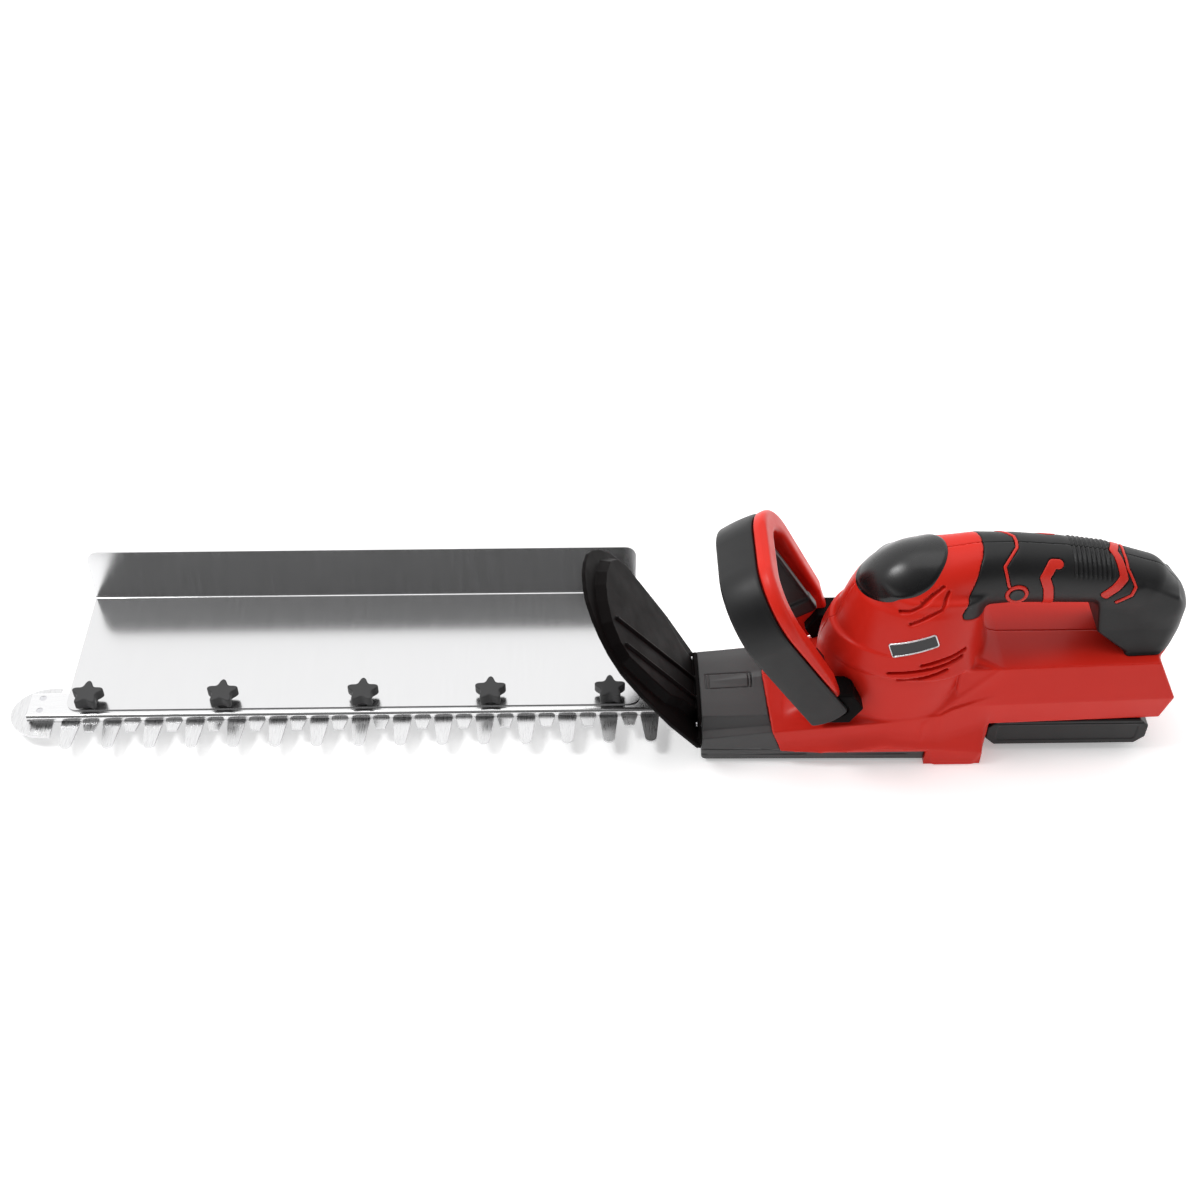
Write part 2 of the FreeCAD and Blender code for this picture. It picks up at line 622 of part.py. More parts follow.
def dome_shape(inset):
    """Upper part of an egg-shaped shell over the upright motor, flat where the hand opening starts."""
    centre = (size("dome_x"), 0, size("dome_z"))
    long, wide, tall = (size(word) - inset for word in ("dome_long", "dome_wide", "dome_tall"))
    upper = egg_shape(centre, long, wide, tall, size("dome_foot"))
    behind = Part.makeBox(100, 200, 200, Vector(size("dome_rear") - inset, -100, size("bay_top") - inset))
    return upper.cut(behind)


def neck_shape(inset):
    """Red neck between the dome and the handle: an upright column and the root of the handle's bar."""
    rear = size("neck_rear") - inset
    column = [ellipse_wire((x, 0, z), -90, tall - inset, wide - inset)
              for x, z, tall, wide in ((40, 126, 40, 40), (62, 130, 41, 34), (rear, 132, 41, 26))]
    root = [ellipse_wire((x, 0, z), -90, tall - inset, wide - inset)
            for x, z, tall, wide in ((45, 143, 29, 29), (62, 148.5, 27, 27), (rear, 153.4, 25.5, 25.2))]
    return Part.makeLoft(column, True, False).fuse(Part.makeLoft(root, True, False))


def bay_shape(inset):
    """Battery bay: a six-sided box whose rear end slopes in above and below its belt line."""
    low, belt, top = size("bay_low") + inset, size("bay_belt"), size("bay_top") - inset
    halves = [size(word) - inset for word in ("bay_half_low", "bay_half_belt", "bay_half_top")]
    tapers = [size(word) for word in ("bay_end_taper", "bay_belt_taper", "bay_end_taper")]
    ends = [half - taper for half, taper in zip(halves, tapers)]
    body = loft([mirrored_section(place, [(0, low), *zip(wide, (low, belt, top)), (0, top)])
                 for place, wide in ((size("bay_left"), halves), (size("bay_belt_end"), ends))])
    end_words = ("bay_low_end", "bay_belt_end", "bay_top_end")
    low_end, belt_end, top_end = (size(word) - inset for word in end_words)
    side = [(0, low - 1), (low_end, low - 1), (low_end, low), (belt_end, belt),
            (top_end, top), (top_end, top + 1), (0, top + 1)]
    face = Part.Face(Part.makePolygon([Vector(x, -80, z) for x, z in side + side[:1]]))
    return body.common(face.extrude(Vector(0, 160, 0)))


BASE_FRONT_HALF = ((0, -1), (45, -1), (45, 0), (47, 3), (47.5, 15), (0, 15))
BASE_REAR_HALF = ((0, -1), (45.5, -1), (45.5, 0), (48, 4), (48, 15), (0, 15))


def housing_outer():
    base = above_ground(loft([mirrored_section(size("cover_rear"), BASE_FRONT_HALF),
                              mirrored_section(size("chassis_rear"), BASE_REAR_HALF)]))
    whole = chassis_shape(0).fuse([dome_shape(0), neck_shape(0), bay_shape(0), base])
    return whole.common(seam_side(ahead=False))


def vent_slots():
    """Three rising air slots low on each side of the dome."""
    slots = []
    step = size("vent_step")
    for side in (1, -1):
        for row in range(3):
            slot = Part.makeBox(44 - step * row, 30, size("vent_thick"), Vector(0, -15, 0))
            slot.rotate(Vector(), Vector(0, 1, 0), size("vent_rise"))
            slot.translate(Vector(size("vent_x") + step / 2 * row, side * 44, size("vent_z") - step * row))
            slots.append(slot)
    return slots


def cap_column(grow):
    """Tilted elliptical column that marks out the glossy cap on the dome."""
    ellipse = Part.Ellipse(Vector(0, 0, 0), size("cap_long") + grow, size("cap_wide") + grow).toShape()
    column = Part.Face(Part.Wire(ellipse)).extrude(Vector(0, 0, 60))
    column.rotate(Vector(0, 0, 0), Vector(0, 1, 0), size("cap_tilt"))
    column.translate(Vector(size("cap_x"), 0, size("cap_z")))
    return column


SCREW_PLACES = ((-30, 32), (94, 30), (150, 75), (214, 64), (28, 132), (70, 145))
SCREW_HEAD, SCREW_SHANK, BOSS = 3.6, 1.9, 5.0


def screw_shapes(radius, near, far):
    rods = []
    for x, z in SCREW_PLACES:
        rods.append(Part.makeCylinder(radius, far - near, Vector(x, near, z), Vector(0, 1, 0)))
    return rods


def housing_shells():
    """The red shell in two halves that meet on the middle plane, with bosses for its screws."""
    wall = size("wall")
    outer = housing_outer()
    opening = Part.makeBox(size("cover_rear") - size("chassis_front") - wall, 2 * COVER_HOLLOW_HALF, 8,
                           Vector(size("chassis_front"), -COVER_HOLLOW_HALF, 10))
    inner = chassis_shape(wall).fuse([dome_shape(wall), neck_shape(wall), bay_shape(wall)])
    under = Part.makeBox(36, 84, 20, Vector(size("cover_rear") + wall, -42, wall))
    channel = Part.makeBox(200, 2 * size("channel_half"), size("channel_top") - 20,
                           Vector(size("channel_left"), -size("channel_half"), 20))
    pack_room = Part.makeBox(200, 120, size("bay_low") - 1, Vector(size("chassis_rear"), -60, 0))
    inside = inner.fuse([opening, under])
    bosses = Part.makeCompound(screw_shapes(BOSS, -60, 60)).common(outer)
    shell = outer.cut(inside).fuse(bosses.Solids)
    shell = shell.cut([channel, pack_room] + vent_slots() + screw_shapes(SCREW_SHANK + 0.05, -34, 60))
    heads = [Part.makeCylinder(SCREW_HEAD + 0.1, 60, Vector(x, 22, z), Vector(0, 1, 0))
             for x, z in SCREW_PLACES]
    shell = shell.cut(heads)
    for name, start in (("housing_left", -120), ("housing_right", 0)):
        half = shell.common(Part.makeBox(600, 120, 400, Vector(-200, start, -50)))
        biggest = max(half.Solids, key=lambda solid: solid.Volume)
        keep(feature(name, biggest))
    screws = []
    for x, z in SCREW_PLACES:
        shank = Part.makeCylinder(SCREW_SHANK, 54, Vector(x, -32, z), Vector(0, 1, 0))
        head = Part.makeCylinder(SCREW_HEAD, 3, Vector(x, 22, z), Vector(0, 1, 0))
        screws.append(shank.fuse(head).removeSplitter())
    keep(feature("housing_screws", Part.makeCompound(screws)))
    return outer


def motor_cap(outer):
    """Glossy cap that follows the dome's front and top."""
    proud = dome_shape(-size("cap_proud"))
    shape = proud.common(cap_column(0)).cut(outer)
    return keep(feature("motor_cap", max(shape.Solids, key=lambda solid: solid.Volume)))


def label_plate(outer):
    """Blank rating plate set on the near side of the dome."""
    long, high = size("label_long"), size("label_high")
    plate = Part.makeBox(long, 20, high, Vector(-long / 2, -10, -high / 2))
    plate.rotate(Vector(), Vector(0, 1, 0), size("label_tilt"))
    plate.translate(Vector(size("label_x"), -44, size("label_z")))
    skin = dome_shape(-0.8).common(plate).cut(outer)
    return keep(feature("label_plate", max(skin.Solids, key=lambda solid: solid.Volume)))


# ---------------------------------------------------------------- rear handle
GRIP_BAR = ((86, 153.4, 0, 25.3, 25), (104, 154, -2, 24.5, 23.5), (140, 152, -4, 23, 22.5),
            (175, 147.5, -10, 21, 21.5), (200, 138, -25, 19, 19))
GRIP_POST = ((146, 202, 17, 13), (134, 202, 24, 18), (118, 203, 33, 22), (105, 203.5, 32.5, 23),
             (88, 212, 17, 26))


def grip_bar(inset):
    wires = [ellipse_wire((x, 0, z), -90 - tilt, tall - inset, wide - inset)
             for x, z, tilt, tall, wide in GRIP_BAR]
    return Part.makeLoft(wires, True, False)


def grip_post(inset):
    wires = [ellipse_wire((x, 0, z), 0, long - inset, wide - inset) for z, x, long, wide in GRIP_POST]
    return Part.makeLoft(wires, True, False)


def rear_handle(outer):
    """Soft black handle in two halves: a bar over the hand opening and a post behind it."""
    wall = size("grip_wall")
    solid = grip_bar(0).fuse(grip_post(0)).cut(outer)
    hollow = grip_bar(wall).cut(Part.makeBox(60, 80, 120, Vector(186, -40, 90)))
    hollow = hollow.cut(Part.makeBox(10, 80, 120, Vector(size("neck_rear") - 6, -40, 90)))
    gap = size("slide_gap")
    slot = Part.makeBox(size("trigger_right - trigger_left") + 2 * gap, 2 * (size("trigger_half") + gap), 40,
                        Vector(size("trigger_left") - gap, -size("trigger_half") - gap, 110))
    place = Vector(size("button_x"), -60, size("button_z"))
    hole = Part.makeCylinder(size("button_radius") + gap, 60, place, Vector(0, 1, 0))
    ring_low = -size("button_out") + 1.5
    ring_hole = Part.makeCylinder(size("ring_radius") + 0.1, ring_low + size("ring_thick") - place.y, place,
                                  Vector(0, 1, 0))
    solid = solid.cut([hollow, slot, hole, ring_hole])
    for name, start in (("handle_left", -80), ("handle_right", 0)):
        half = solid.common(Part.makeBox(300, 80, 200, Vector(0, start, 0)))
        keep(feature(name, max(half.Solids, key=lambda piece: piece.Volume)))
    ring = Part.makeCylinder(size("ring_radius"), size("ring_thick"), Vector(place.x, ring_low, place.z),
                             Vector(0, 1, 0)).cut(hole)
    keep(feature("button_ring", ring))
    keep(cylinder("lock_button", "button_radius", ("button_x", "-button_out", "button_z"),
                  "button_out - button_in", "y"))
    stem = box("trigger_stem", ("trigger_left", "-trigger_half", "trigger_low"),
               ("trigger_right", "trigger_half", "trigger_high"))
    flange = box("trigger_flange",
                 ("trigger_left - 2", "-trigger_half - flange_reach", "trigger_high - flange_thick"),
                 ("trigger_right + 2", "trigger_half + flange_reach", "trigger_high"))
    keep(fuse("trigger", stem, flange))
    floor = "trigger_high + trigger_travel + switch_gap"
    keep(box("trigger_switch", ("trigger_left + 6", "-8", floor),
             ("trigger_right - 4", "8", f"{floor} + switch_high")))


# ---------------------------------------------------------------- guard and front handle
def leaning_frame(lean, x, z):
    """Frame of a part that leans forwards: local X is the tool's Y, local Y runs up the lean."""
    angle = math.radians(size(lean))
    up = Vector(-math.sin(angle), 0, math.cos(angle))
    out = Vector(math.cos(angle), 0, math.sin(angle))
    side = Vector(0, 1, 0)
    matrix = FreeCAD.Matrix(side.x, up.x, out.x, size(x), side.y, up.y, out.y, 0,
                            side.z, up.z, out.z, size(z), 0, 0, 0, 1)
    return FreeCAD.Placement(matrix)


def guard_arch(inset):
    """Guard's outline from its right foot over the top to its left foot, at an inset."""
    foot, half = size("guard_foot_half") - inset, size("guard_half") - inset
    shoulder, top = size("guard_shoulder"), size("guard_top") - inset
    bend, early, rise = math.sqrt(0.5), math.radians(22.5), top - size("guard_shoulder")
    side = (half * math.cos(early), shoulder + rise * math.sin(early))
    return [(foot, -8), (half, 24), (half, shoulder), ("arc", side), (half * bend, shoulder + rise * bend),
            ("arc", (0, top)), (-half * bend, shoulder + rise * bend), ("arc", (-side[0], side[1])),
            (-half, shoulder), (-half, 24), (-foot, -8)]


def reversed_path(path):
    """The same run of points and bends, walked the other way."""
    return path[::-1]


def screw_rods(name, extra):
    """The two screws that hold the guard to the gear case, or their holes where extra is above 0."""
    return [cylinder(f"{name}_{side}", "guard_screw_radius",
                     ("case_front - guard_flange - 1", f"{side} * guard_screw_y", "guard_screw_z"),
                     f"guard_screw_long + {extra}", "x") for side in (1, -1)]


def guard():
    """Shield that leans forwards, with a raised rim, ribs and a foot that bolts to the gear case."""
    shield = new_body("guard_shield")
    outline = new_sketch(shield, "guard_outline")
    draw_path(outline, guard_arch(0))
    pad(shield, outline, "guard_pad", "guard_thick")
    rim = new_sketch(shield, "guard_rim_outline")
    draw_path(rim, guard_arch(0) + reversed_path(guard_arch(size("guard_thick"))))
    pad(shield, rim, "guard_rim_pad", "guard_rim")
    shield.Placement = leaning_frame("lean", "guard_foot_x", "guard_foot_z")
    foot = box("guard_foot", ("case_front - guard_flange - 0.05", "-guard_foot_half", "slot_low + 3"),
               ("case_front - 0.05", "guard_foot_half", "36"))
    gussets = [box(f"guard_gusset_{side}", ("case_front - 16", f"{side} * 22 - 2", "20"),
                   ("case_front - guard_flange", f"{side} * 22 + 2", "34")) for side in (1, -1)]
    notch = box("guard_notch", ("case_front - 30", "-slot_half", "0"),
                ("case_front + 5", "slot_half", "slot_high + 1"))
    clear = box("guard_clear", ("case_front - 0.05", "-guard_half", "0"),
                ("case_front + 30", "guard_half", "50"))
    blank = fuse("guard_blank", shield, foot, *gussets)
    keep(cut("guard", blank, notch, clear, *screw_rods("guard_hole", 1)))
    keep(group("guard_screws", screw_rods("guard_screw", 0)))


def loop_path(offset, foot):
    """Upside-down U at an offset inside the front handle's outer line."""
    half, base = size("loop_half") - offset, size("loop_foot_half") - offset
    top, bend = size("loop_top") - offset, max(size("loop_round") - offset, 4)
    slant = (half - base) / (top - bend)
    start = base + slant * foot
    mid = bend * math.sqrt(0.5)
    return [(start, foot), (half, top - bend), ("arc", (half - bend + mid, top - bend + mid)),
            (half - bend, top), (-half + bend, top), ("arc", (-half + bend - mid, top - bend + mid)),
            (-half, top - bend), (-start, foot)]


def band_path(outer, inner, foot):
    """Closed U-shaped band between two offsets."""
    return loop_path(outer, foot) + reversed_path(loop_path(inner, foot))


def band(name, outer, inner, foot, start, wide):
    body = new_body(name)
    sketch = new_sketch(body, name + "_outline", height=start)
    draw_path(sketch, band_path(size(outer), size(inner), size(foot)))
    pad(body, sketch, name + "_pad", wide)
    body.Placement = leaning_frame("loop_lean", "loop_foot_x", "loop_foot_z")
    return body


def front_handle(outer):
    """Leaning loop handle: soft outer strap, red loop, switch bar inside it and two side sockets."""
    strap = keep(band("loop_grip", "0", "strap_thick", "4", "0", "strap_wide"))
    loop = band("loop_blank", "strap_thick", "strap_thick + loop_thick", "4", "loop_inset", "loop_wide")
    clear = "strap_thick + loop_thick + lever_travel + slide_gap"
    lever = band("front_switch_bar", clear, f"{clear} + lever_thick", "lever_foot", "lever_offset",
                 "lever_wide")
    keep(lever)
    pocket = new_sketch(loop, "switch_pocket", height="loop_inset + 10")
    low = size("loop_top - strap_thick - loop_thick")
    high = low + 7
    draw_path(pocket, [(-10.2, low - 1), (10.2, low - 1), (10.2, high), (-10.2, high)])
    pocket_up(loop, pocket, "switch_pocket_cut", "12")
    loop.Label = "loop_blank"
    frame = leaning_frame("loop_lean", "loop_foot_x", "loop_foot_z")
    switch = Part.makeBox(20, 6, 11, Vector(-10, low + 0.8, size("loop_inset") + 10.5))
    switch.Placement = frame
    DOC.recompute()
    keep(feature("loop_handle", loop.Shape.cut(outer)))
    keep(feature("front_switch", switch))
    sockets = []
    middle_x, middle_z, radius = size("socket_x"), size("socket_z"), size("socket_radius")
    turns = [math.radians(60 * k) for k in range(7)]
    corners = [Vector(middle_x + radius * math.cos(turn), 0, middle_z + radius * math.sin(turn))
               for turn in turns]
    face = Part.Face(Part.makePolygon(corners))
    for side in (1, -1):
        prism = face.extrude(Vector(0, side * size("socket_out - socket_in"), 0))
        prism.translate(Vector(0, side * size("socket_in"), 0))
        piece = prism.cut([outer, loop.Shape, strap.Shape])
        sockets.append(max(piece.Solids, key=lambda solid: solid.Volume))
    keep(feature("loop_sockets", Part.makeCompound(sockets)))


# ---------------------------------------------------------------- drive train
ADDENDUM, DEDENDUM = 0.85, 1.15
PRESSURE_ANGLE = math.radians(20)


def gear(name, teeth, bore, x, first_angle):
    """Spur gear with straight-flanked teeth; the first tooth points along first_angle."""
    module, gap = size("gear_module"), size("mesh_gap")
    pitch_radius = module * teeth / 2
    root, tip = pitch_radius - DEDENDUM * module, pitch_radius + ADDENDUM * module
    step = 2 * math.pi / teeth
    pitch_half = (math.pi * module / 2 - gap) / 2
    flank = math.tan(PRESSURE_ANGLE)
    profile = ((root, pitch_half + (pitch_radius - root) * flank),
               (tip, pitch_half - (tip - pitch_radius) * flank))
    points = []
    for index in range(teeth):
        middle = first_angle + index * step
        (low, low_half), (high, high_half) = profile
        for radius, offset in ((low, -low_half), (high, -high_half), (high, high_half), (low, low_half)):
            angle = middle + offset / radius
            points.append(Vector(radius * math.cos(angle), radius * math.sin(angle), 0))
    face = Part.Face(Part.makePolygon(points + points[:1]))
    solid = face.extrude(Vector(0, 0, size("gear_thick")))
    solid = solid.cut(Part.makeCylinder(size(bore), 40, Vector(0, 0, -10)))
    thing = feature(name, solid)
    thing.Placement = FreeCAD.Placement(Vector(size(x), 0, size("gear_low")), FreeCAD.Rotation())
    return keep(thing)


def drive_train():
    """Motor on its plate, pinion, drive wheel on a fixed axle, and the crank that moves the blade."""
    half_tooth = math.pi / size("pinion_teeth")
    gear("pinion", int(size("pinion_teeth")), "shaft_radius", "motor_x", math.pi + half_tooth)
    gear("drive_wheel", int(size("wheel_teeth")), "bush_outer", "wheel_x", 0)
    keep(cylinder("motor_shaft", "shaft_radius", ("motor_x", "0", "shaft_low"), "shaft_high - shaft_low"))
    can = cylinder("motor_body", "motor_radius", ("motor_x", "0", "motor_low"), "motor_high - motor_low")
    bore = cylinder("motor_bore", "shaft_bore", ("motor_x", "0", "motor_low - 1"),
                    "shaft_high - motor_low + 2")
    keep(cut("motor_can", can, bore))
    ring = cylinder("bush_blank", "bush_outer", ("wheel_x", "0", "gear_low"), "gear_thick")
    hole = cylinder("bush_hole", "bush_bore", ("wheel_x", "0", "gear_low - 1"), "gear_thick + 2")
    keep(cut("gear_bush", ring, hole))
    keep(cylinder("gear_axle", "axle_radius", ("wheel_x", "0", "gear_low + 1"),
                  "plate_low + plate_thick - gear_low - 1"))
    disc = cylinder("crank_disc", "stroke_half + crank_pin + 2", ("wheel_x", "0", "gear_low - 4"), "4")
    pin = cylinder("crank_rod", "crank_pin", ("wheel_x + stroke_half", "0", "crank_low"),
                   "gear_low - 3 - crank_low")
    keep(fuse("crank", disc, pin))
    sheet = box("plate_blank", ("plate_left", "-plate_half", "plate_low"),
                ("plate_right", "plate_half", "plate_low + plate_thick"))
    axle_hole = cylinder("plate_axle_hole", "axle_radius", ("wheel_x", "0", "plate_low - 1"), "10")
    shaft_hole = cylinder("plate_shaft_hole", "shaft_radius + 4", ("motor_x", "0", "plate_low - 1"), "10")
    keep(cut("gearbox_plate", sheet, axle_hole, shaft_hole))
    keep(box("control_board", ("60", "-25", "20"), ("86", "25", "21.6")))


# ---------------------------------------------------------------- battery pack
def battery_pack():
    """Slide-in pack: chamfered case with a rail block on top, five cells, a board and a latch."""
    left, long, half = size("pack_left"), size("pack_long"), size("pack_half")
    low, top, cham, wall = size("pack_low"), size("pack_top"), 7.0, size("pack_wall")
    right = left + long
    profile = [(left, low + cham), (left + cham, low), (right - cham, low), (right, low + cham),
               (right, top - cham), (right - cham, top), (left + cham, top), (left, top - cham)]
    face = Part.Face(Part.makePolygon([Vector(x, -half, z) for x, z in profile + profile[:1]]))
    block = feature("pack_block", face.extrude(Vector(0, 2 * half, 0)))
    rail = box("rail_block", ("rail_left", "-rail_half", "pack_top - 1"),
               ("rail_right", "rail_half", "rail_top"))
    room = box("cell_room",
               ("cell_first_x - cell_radius - 0.3", "-cell_long / 2 - 0.5", "pack_low + pack_wall"),
               ("cell_first_x + (cell_count - 1) * cell_step + cell_radius + 0.3", "cell_long / 2 + 0.5",
                "pack_low + pack_wall + 2 * cell_radius + 0.4"))
    tower = box("tower_room",
                ("rail_left + 3", "-rail_half + 3", "pack_low + pack_wall + 2 * cell_radius - 1"),
                ("rail_right - 3", "rail_half - 3", "rail_top - 3"))
    grooves = [box(f"rail_groove_{side}", ("rail_left - 1", f"{side} * 24.5 - 2.2", "pack_top + 2"),
                   ("rail_right + 1", f"{side} * 24.5 + 2.2", "pack_top + 6")) for side in (1, -1)]
    slots = [box(f"contact_slot_{side}", ("rail_left - 1", f"{side} * 9 - 1.5", "pack_top + 2"),
                 ("rail_left + 8", f"{side} * 9 + 1.5", "rail_top - 2")) for side in (1, -1)]
    pocket = box("latch_pocket", ("pack_left + pack_long - latch_deep", "-latch_half - latch_gap",
                                  "latch_low - latch_gap"),
                 ("pack_left + pack_long + 5", "latch_half + latch_gap", "latch_high + latch_gap"))
    keep(cut("battery_case", fuse("pack_solid", block, rail), room, tower, pocket, *grooves, *slots))
    level = "pack_low + pack_wall + cell_radius + 0.2"
    cells = [cylinder(f"cell_{index}", "cell_radius",
                      (f"cell_first_x + {index} * cell_step", "-cell_long / 2", level), "cell_long", "y")
             for index in range(int(size("cell_count")))]
    keep(group("battery_cells", cells))
    keep(box("battery_board", ("rail_left + 12", "-18", "pack_top + 1"),
             ("rail_right - 12", "18", "pack_top + 2.6")))
    keep(box("battery_latch",
             ("pack_left + pack_long - latch_deep + latch_proud", "-latch_half", "latch_low"),
             ("pack_left + pack_long + latch_proud", "latch_half", "latch_high")))
    base = box("terminal_base", ("channel_left + 0.5", "-14", "36"), ("channel_left + 8", "14", "44"))
    tongues = [box(f"terminal_tongue_{side}", ("channel_left + 7", f"{side} * 9 - 0.5", "37"),
                   ("channel_left + 18", f"{side} * 9 + 0.5", "42")) for side in (1, -1)]
    keep(fuse("terminal_block", base, *tongues))


# ---------------------------------------------------------------- assembly
def check_document():
    """Stop before anything is written if an object failed or a sub-part isn't a valid shape."""
    DOC.recompute()
    failed = [thing.Name for thing in DOC.Objects if {"Invalid", "Error"} & set(thing.State)]
    broken = [thing.Label for thing in NODES if thing.Shape.isNull() or not thing.Shape.isValid()]
    if failed or broken:
        raise SystemExit(f"failed objects {failed}, broken sub-parts {broken}")


def main():
    comb_blade()
    cutter_blade()
    guide_bar()
    nose_guard()
    bar_spacer()
    blade_fasteners()
    sweeper_plate()
    knobs_and_studs()
    gear_case(screw_rods("case_hole", 1))
    bottom_cover()
    outer = housing_shells()
    motor_cap(outer)
    label_plate(outer)
    rear_handle(outer)
    guard()
    front_handle(outer)
    drive_train()
    battery_pack()
    check_document()
    os.makedirs("parts", exist_ok=True)
    for thing in NODES:
        thing.Shape.exportStep(f"parts/{thing.Label}.step")
        print(f"{thing.Label:20s} {len(thing.Shape.Solids):2d} solids {thing.Shape.Volume / 1000:9.2f} cm3")


main()
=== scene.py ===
"""Looks for the cordless hedge trimmer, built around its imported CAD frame.

Shapes are written in millimetres in the row's frame (+X to the rear handle, +Y to the sweeper plate,
+Z up) as distance fields, which are negative inside, and are meshed with surface nets.
"""

import json
import math

import bpy
import numpy as np
from mathutils import Matrix, Vector


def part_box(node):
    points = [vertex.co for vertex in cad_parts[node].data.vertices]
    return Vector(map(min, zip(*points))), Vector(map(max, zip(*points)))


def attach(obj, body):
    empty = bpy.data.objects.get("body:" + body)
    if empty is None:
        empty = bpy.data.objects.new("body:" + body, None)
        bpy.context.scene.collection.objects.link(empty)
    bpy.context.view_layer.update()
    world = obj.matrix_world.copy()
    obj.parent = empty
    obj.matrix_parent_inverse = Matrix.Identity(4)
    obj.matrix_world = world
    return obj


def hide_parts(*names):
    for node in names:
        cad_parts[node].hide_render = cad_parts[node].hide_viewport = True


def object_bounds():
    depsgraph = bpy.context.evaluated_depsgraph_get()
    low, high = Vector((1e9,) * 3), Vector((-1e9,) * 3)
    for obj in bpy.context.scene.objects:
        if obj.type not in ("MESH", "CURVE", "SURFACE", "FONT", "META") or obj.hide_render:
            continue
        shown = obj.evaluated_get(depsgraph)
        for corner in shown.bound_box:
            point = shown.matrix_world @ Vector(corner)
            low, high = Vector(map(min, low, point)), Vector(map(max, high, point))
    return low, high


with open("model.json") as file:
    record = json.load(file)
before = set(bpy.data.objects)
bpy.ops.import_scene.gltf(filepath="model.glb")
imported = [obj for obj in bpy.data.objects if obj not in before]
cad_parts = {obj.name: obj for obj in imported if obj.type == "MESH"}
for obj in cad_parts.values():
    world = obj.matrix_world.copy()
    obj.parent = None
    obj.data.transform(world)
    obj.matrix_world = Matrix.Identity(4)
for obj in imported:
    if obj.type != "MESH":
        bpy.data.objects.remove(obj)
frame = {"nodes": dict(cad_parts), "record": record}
CAD_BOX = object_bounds()
NODES = frame["nodes"]
MM = 0.001
TOP = CAD_BOX[1].z / MM
FINE = 1.0


# ------------------------------------------------------------------ distance fields
def smooth_min(a, b, k):
    """Union of two fields with a fillet of about k."""
    h = np.clip(0.5 + 0.5 * (b - a) / k, 0, 1)
    return b + (a - b) * h - k * h * (1 - h)


def smooth_max(a, b, k):
    """Intersection of two fields with an edge rounded by about k."""
    return -smooth_min(-a, -b, k)


def polyline(u, v, points):
    """Distance to a chain of straight runs."""
    best = None
    for (u0, v0), (u1, v1) in zip(points, points[1:]):
        du, dv = u1 - u0, v1 - v0
        t = np.clip(((u - u0) * du + (v - v0) * dv) / (du * du + dv * dv), 0, 1)
        d = np.hypot(u - u0 - t * du, v - v0 - t * dv)
        best = d if best is None else np.minimum(best, d)
    return best


def polygon(u, v, points):
    """Signed distance to a closed polygon."""
    ring = list(points) + [points[0]]
    inside = np.zeros(np.broadcast(u, v).shape, bool)
    for (u0, v0), (u1, v1) in zip(ring, ring[1:]):
        if v0 != v1:
            inside ^= ((v0 > v) != (v1 > v)) & (u < (u1 - u0) * (v - v0) / (v1 - v0) + u0)
    edge = polyline(u, v, ring)
    return np.where(inside, -edge, edge)


def slab(v, low, high):
    """Distance to the space between two planes."""
    return np.maximum(low - v, v - high)


def rounded_box(u, v, half_u, half_v, corner):
    """Signed distance to a rectangle with rounded corners, centred on zero."""
    qu, qv = np.abs(u) - half_u + corner, np.abs(v) - half_v + corner
    return np.hypot(np.maximum(qu, 0), np.maximum(qv, 0)) + np.minimum(np.maximum(qu, qv), 0) - corner


def plane(x, ay, z, p, q, r):
    """Signed distance to the plane through three points, whose outer side faces away from the middle."""
    p, q, r = (np.array(point, float) for point in (p, q, r))
    normal = np.cross(q - p, r - p)
    normal /= np.linalg.norm(normal)
    if normal[1] < 0 or (abs(normal[1]) < 1e-9 and normal[2] < 0):
        normal = -normal
    return normal[0] * (x - p[0]) + normal[1] * (ay - p[1]) + normal[2] * (z - p[2])


# ------------------------------------------------------------------ meshing
CORNERS = [(i, j, k) for i in (0, 1) for j in (0, 1) for k in (0, 1)]


def cell_points(values, cells):
    """One point per cell: the mean of the places where its twelve edges cross zero."""
    total = np.zeros((len(cells), 3))
    count = np.zeros(len(cells))
    for axis in range(3):
        along = np.eye(3, dtype=int)[axis]
        for corner in CORNERS:
            if corner[axis]:
                continue
            start = cells + corner
            a = values[tuple(start.T)]
            b = values[tuple((start + along).T)]
            crossed = (a < 0) != (b < 0)
            share = np.where(crossed, a / np.where(crossed, a - b, 1), 0)
            total += crossed[:, None] * (start + share[:, None] * along)
            count += crossed
    return total / count[:, None]


def cell_quads(inside, number):
    """One quad round each grid edge that crosses the surface, wound so that it faces outwards."""
    quads = []
    for axis in range(3):
        b, c = (axis + 1) % 3, (axis + 2) % 3
        ahead = [slice(None)] * 3
        behind = [slice(None)] * 3
        ahead[axis], behind[axis] = slice(1, None), slice(None, -1)
        near, far = inside[tuple(behind)], inside[tuple(ahead)]
        edges = np.argwhere(near != far)
        unit = np.eye(3, dtype=int)
        loop = [number[tuple((edges - off).T)] for off in (0 * unit[b], unit[b], unit[b] + unit[c], unit[c])]
        quad = np.stack(loop, -1)
        leaving = near[tuple(edges.T)]
        quad[~leaving] = quad[~leaving][:, ::-1]
        quads.append(quad)
    return np.concatenate(quads)


def onto_surface(field, points, step):
    """Points moved along the field's slope until they lie on the surface."""
    for _ in range(3):
        value = field(*points.T)
        slope = np.stack([(field(*(points + shift).T) - field(*(points - shift).T)) / 0.1
                          for shift in 0.05 * np.eye(3)], -1)
        move = -value[:, None] * slope / np.maximum((slope ** 2).sum(1), 0.05)[:, None]
        length = np.linalg.norm(move, axis=1)[:, None]
        points = points + move * np.minimum(1, 0.4 * step / np.maximum(length, 1e-9))
    return points


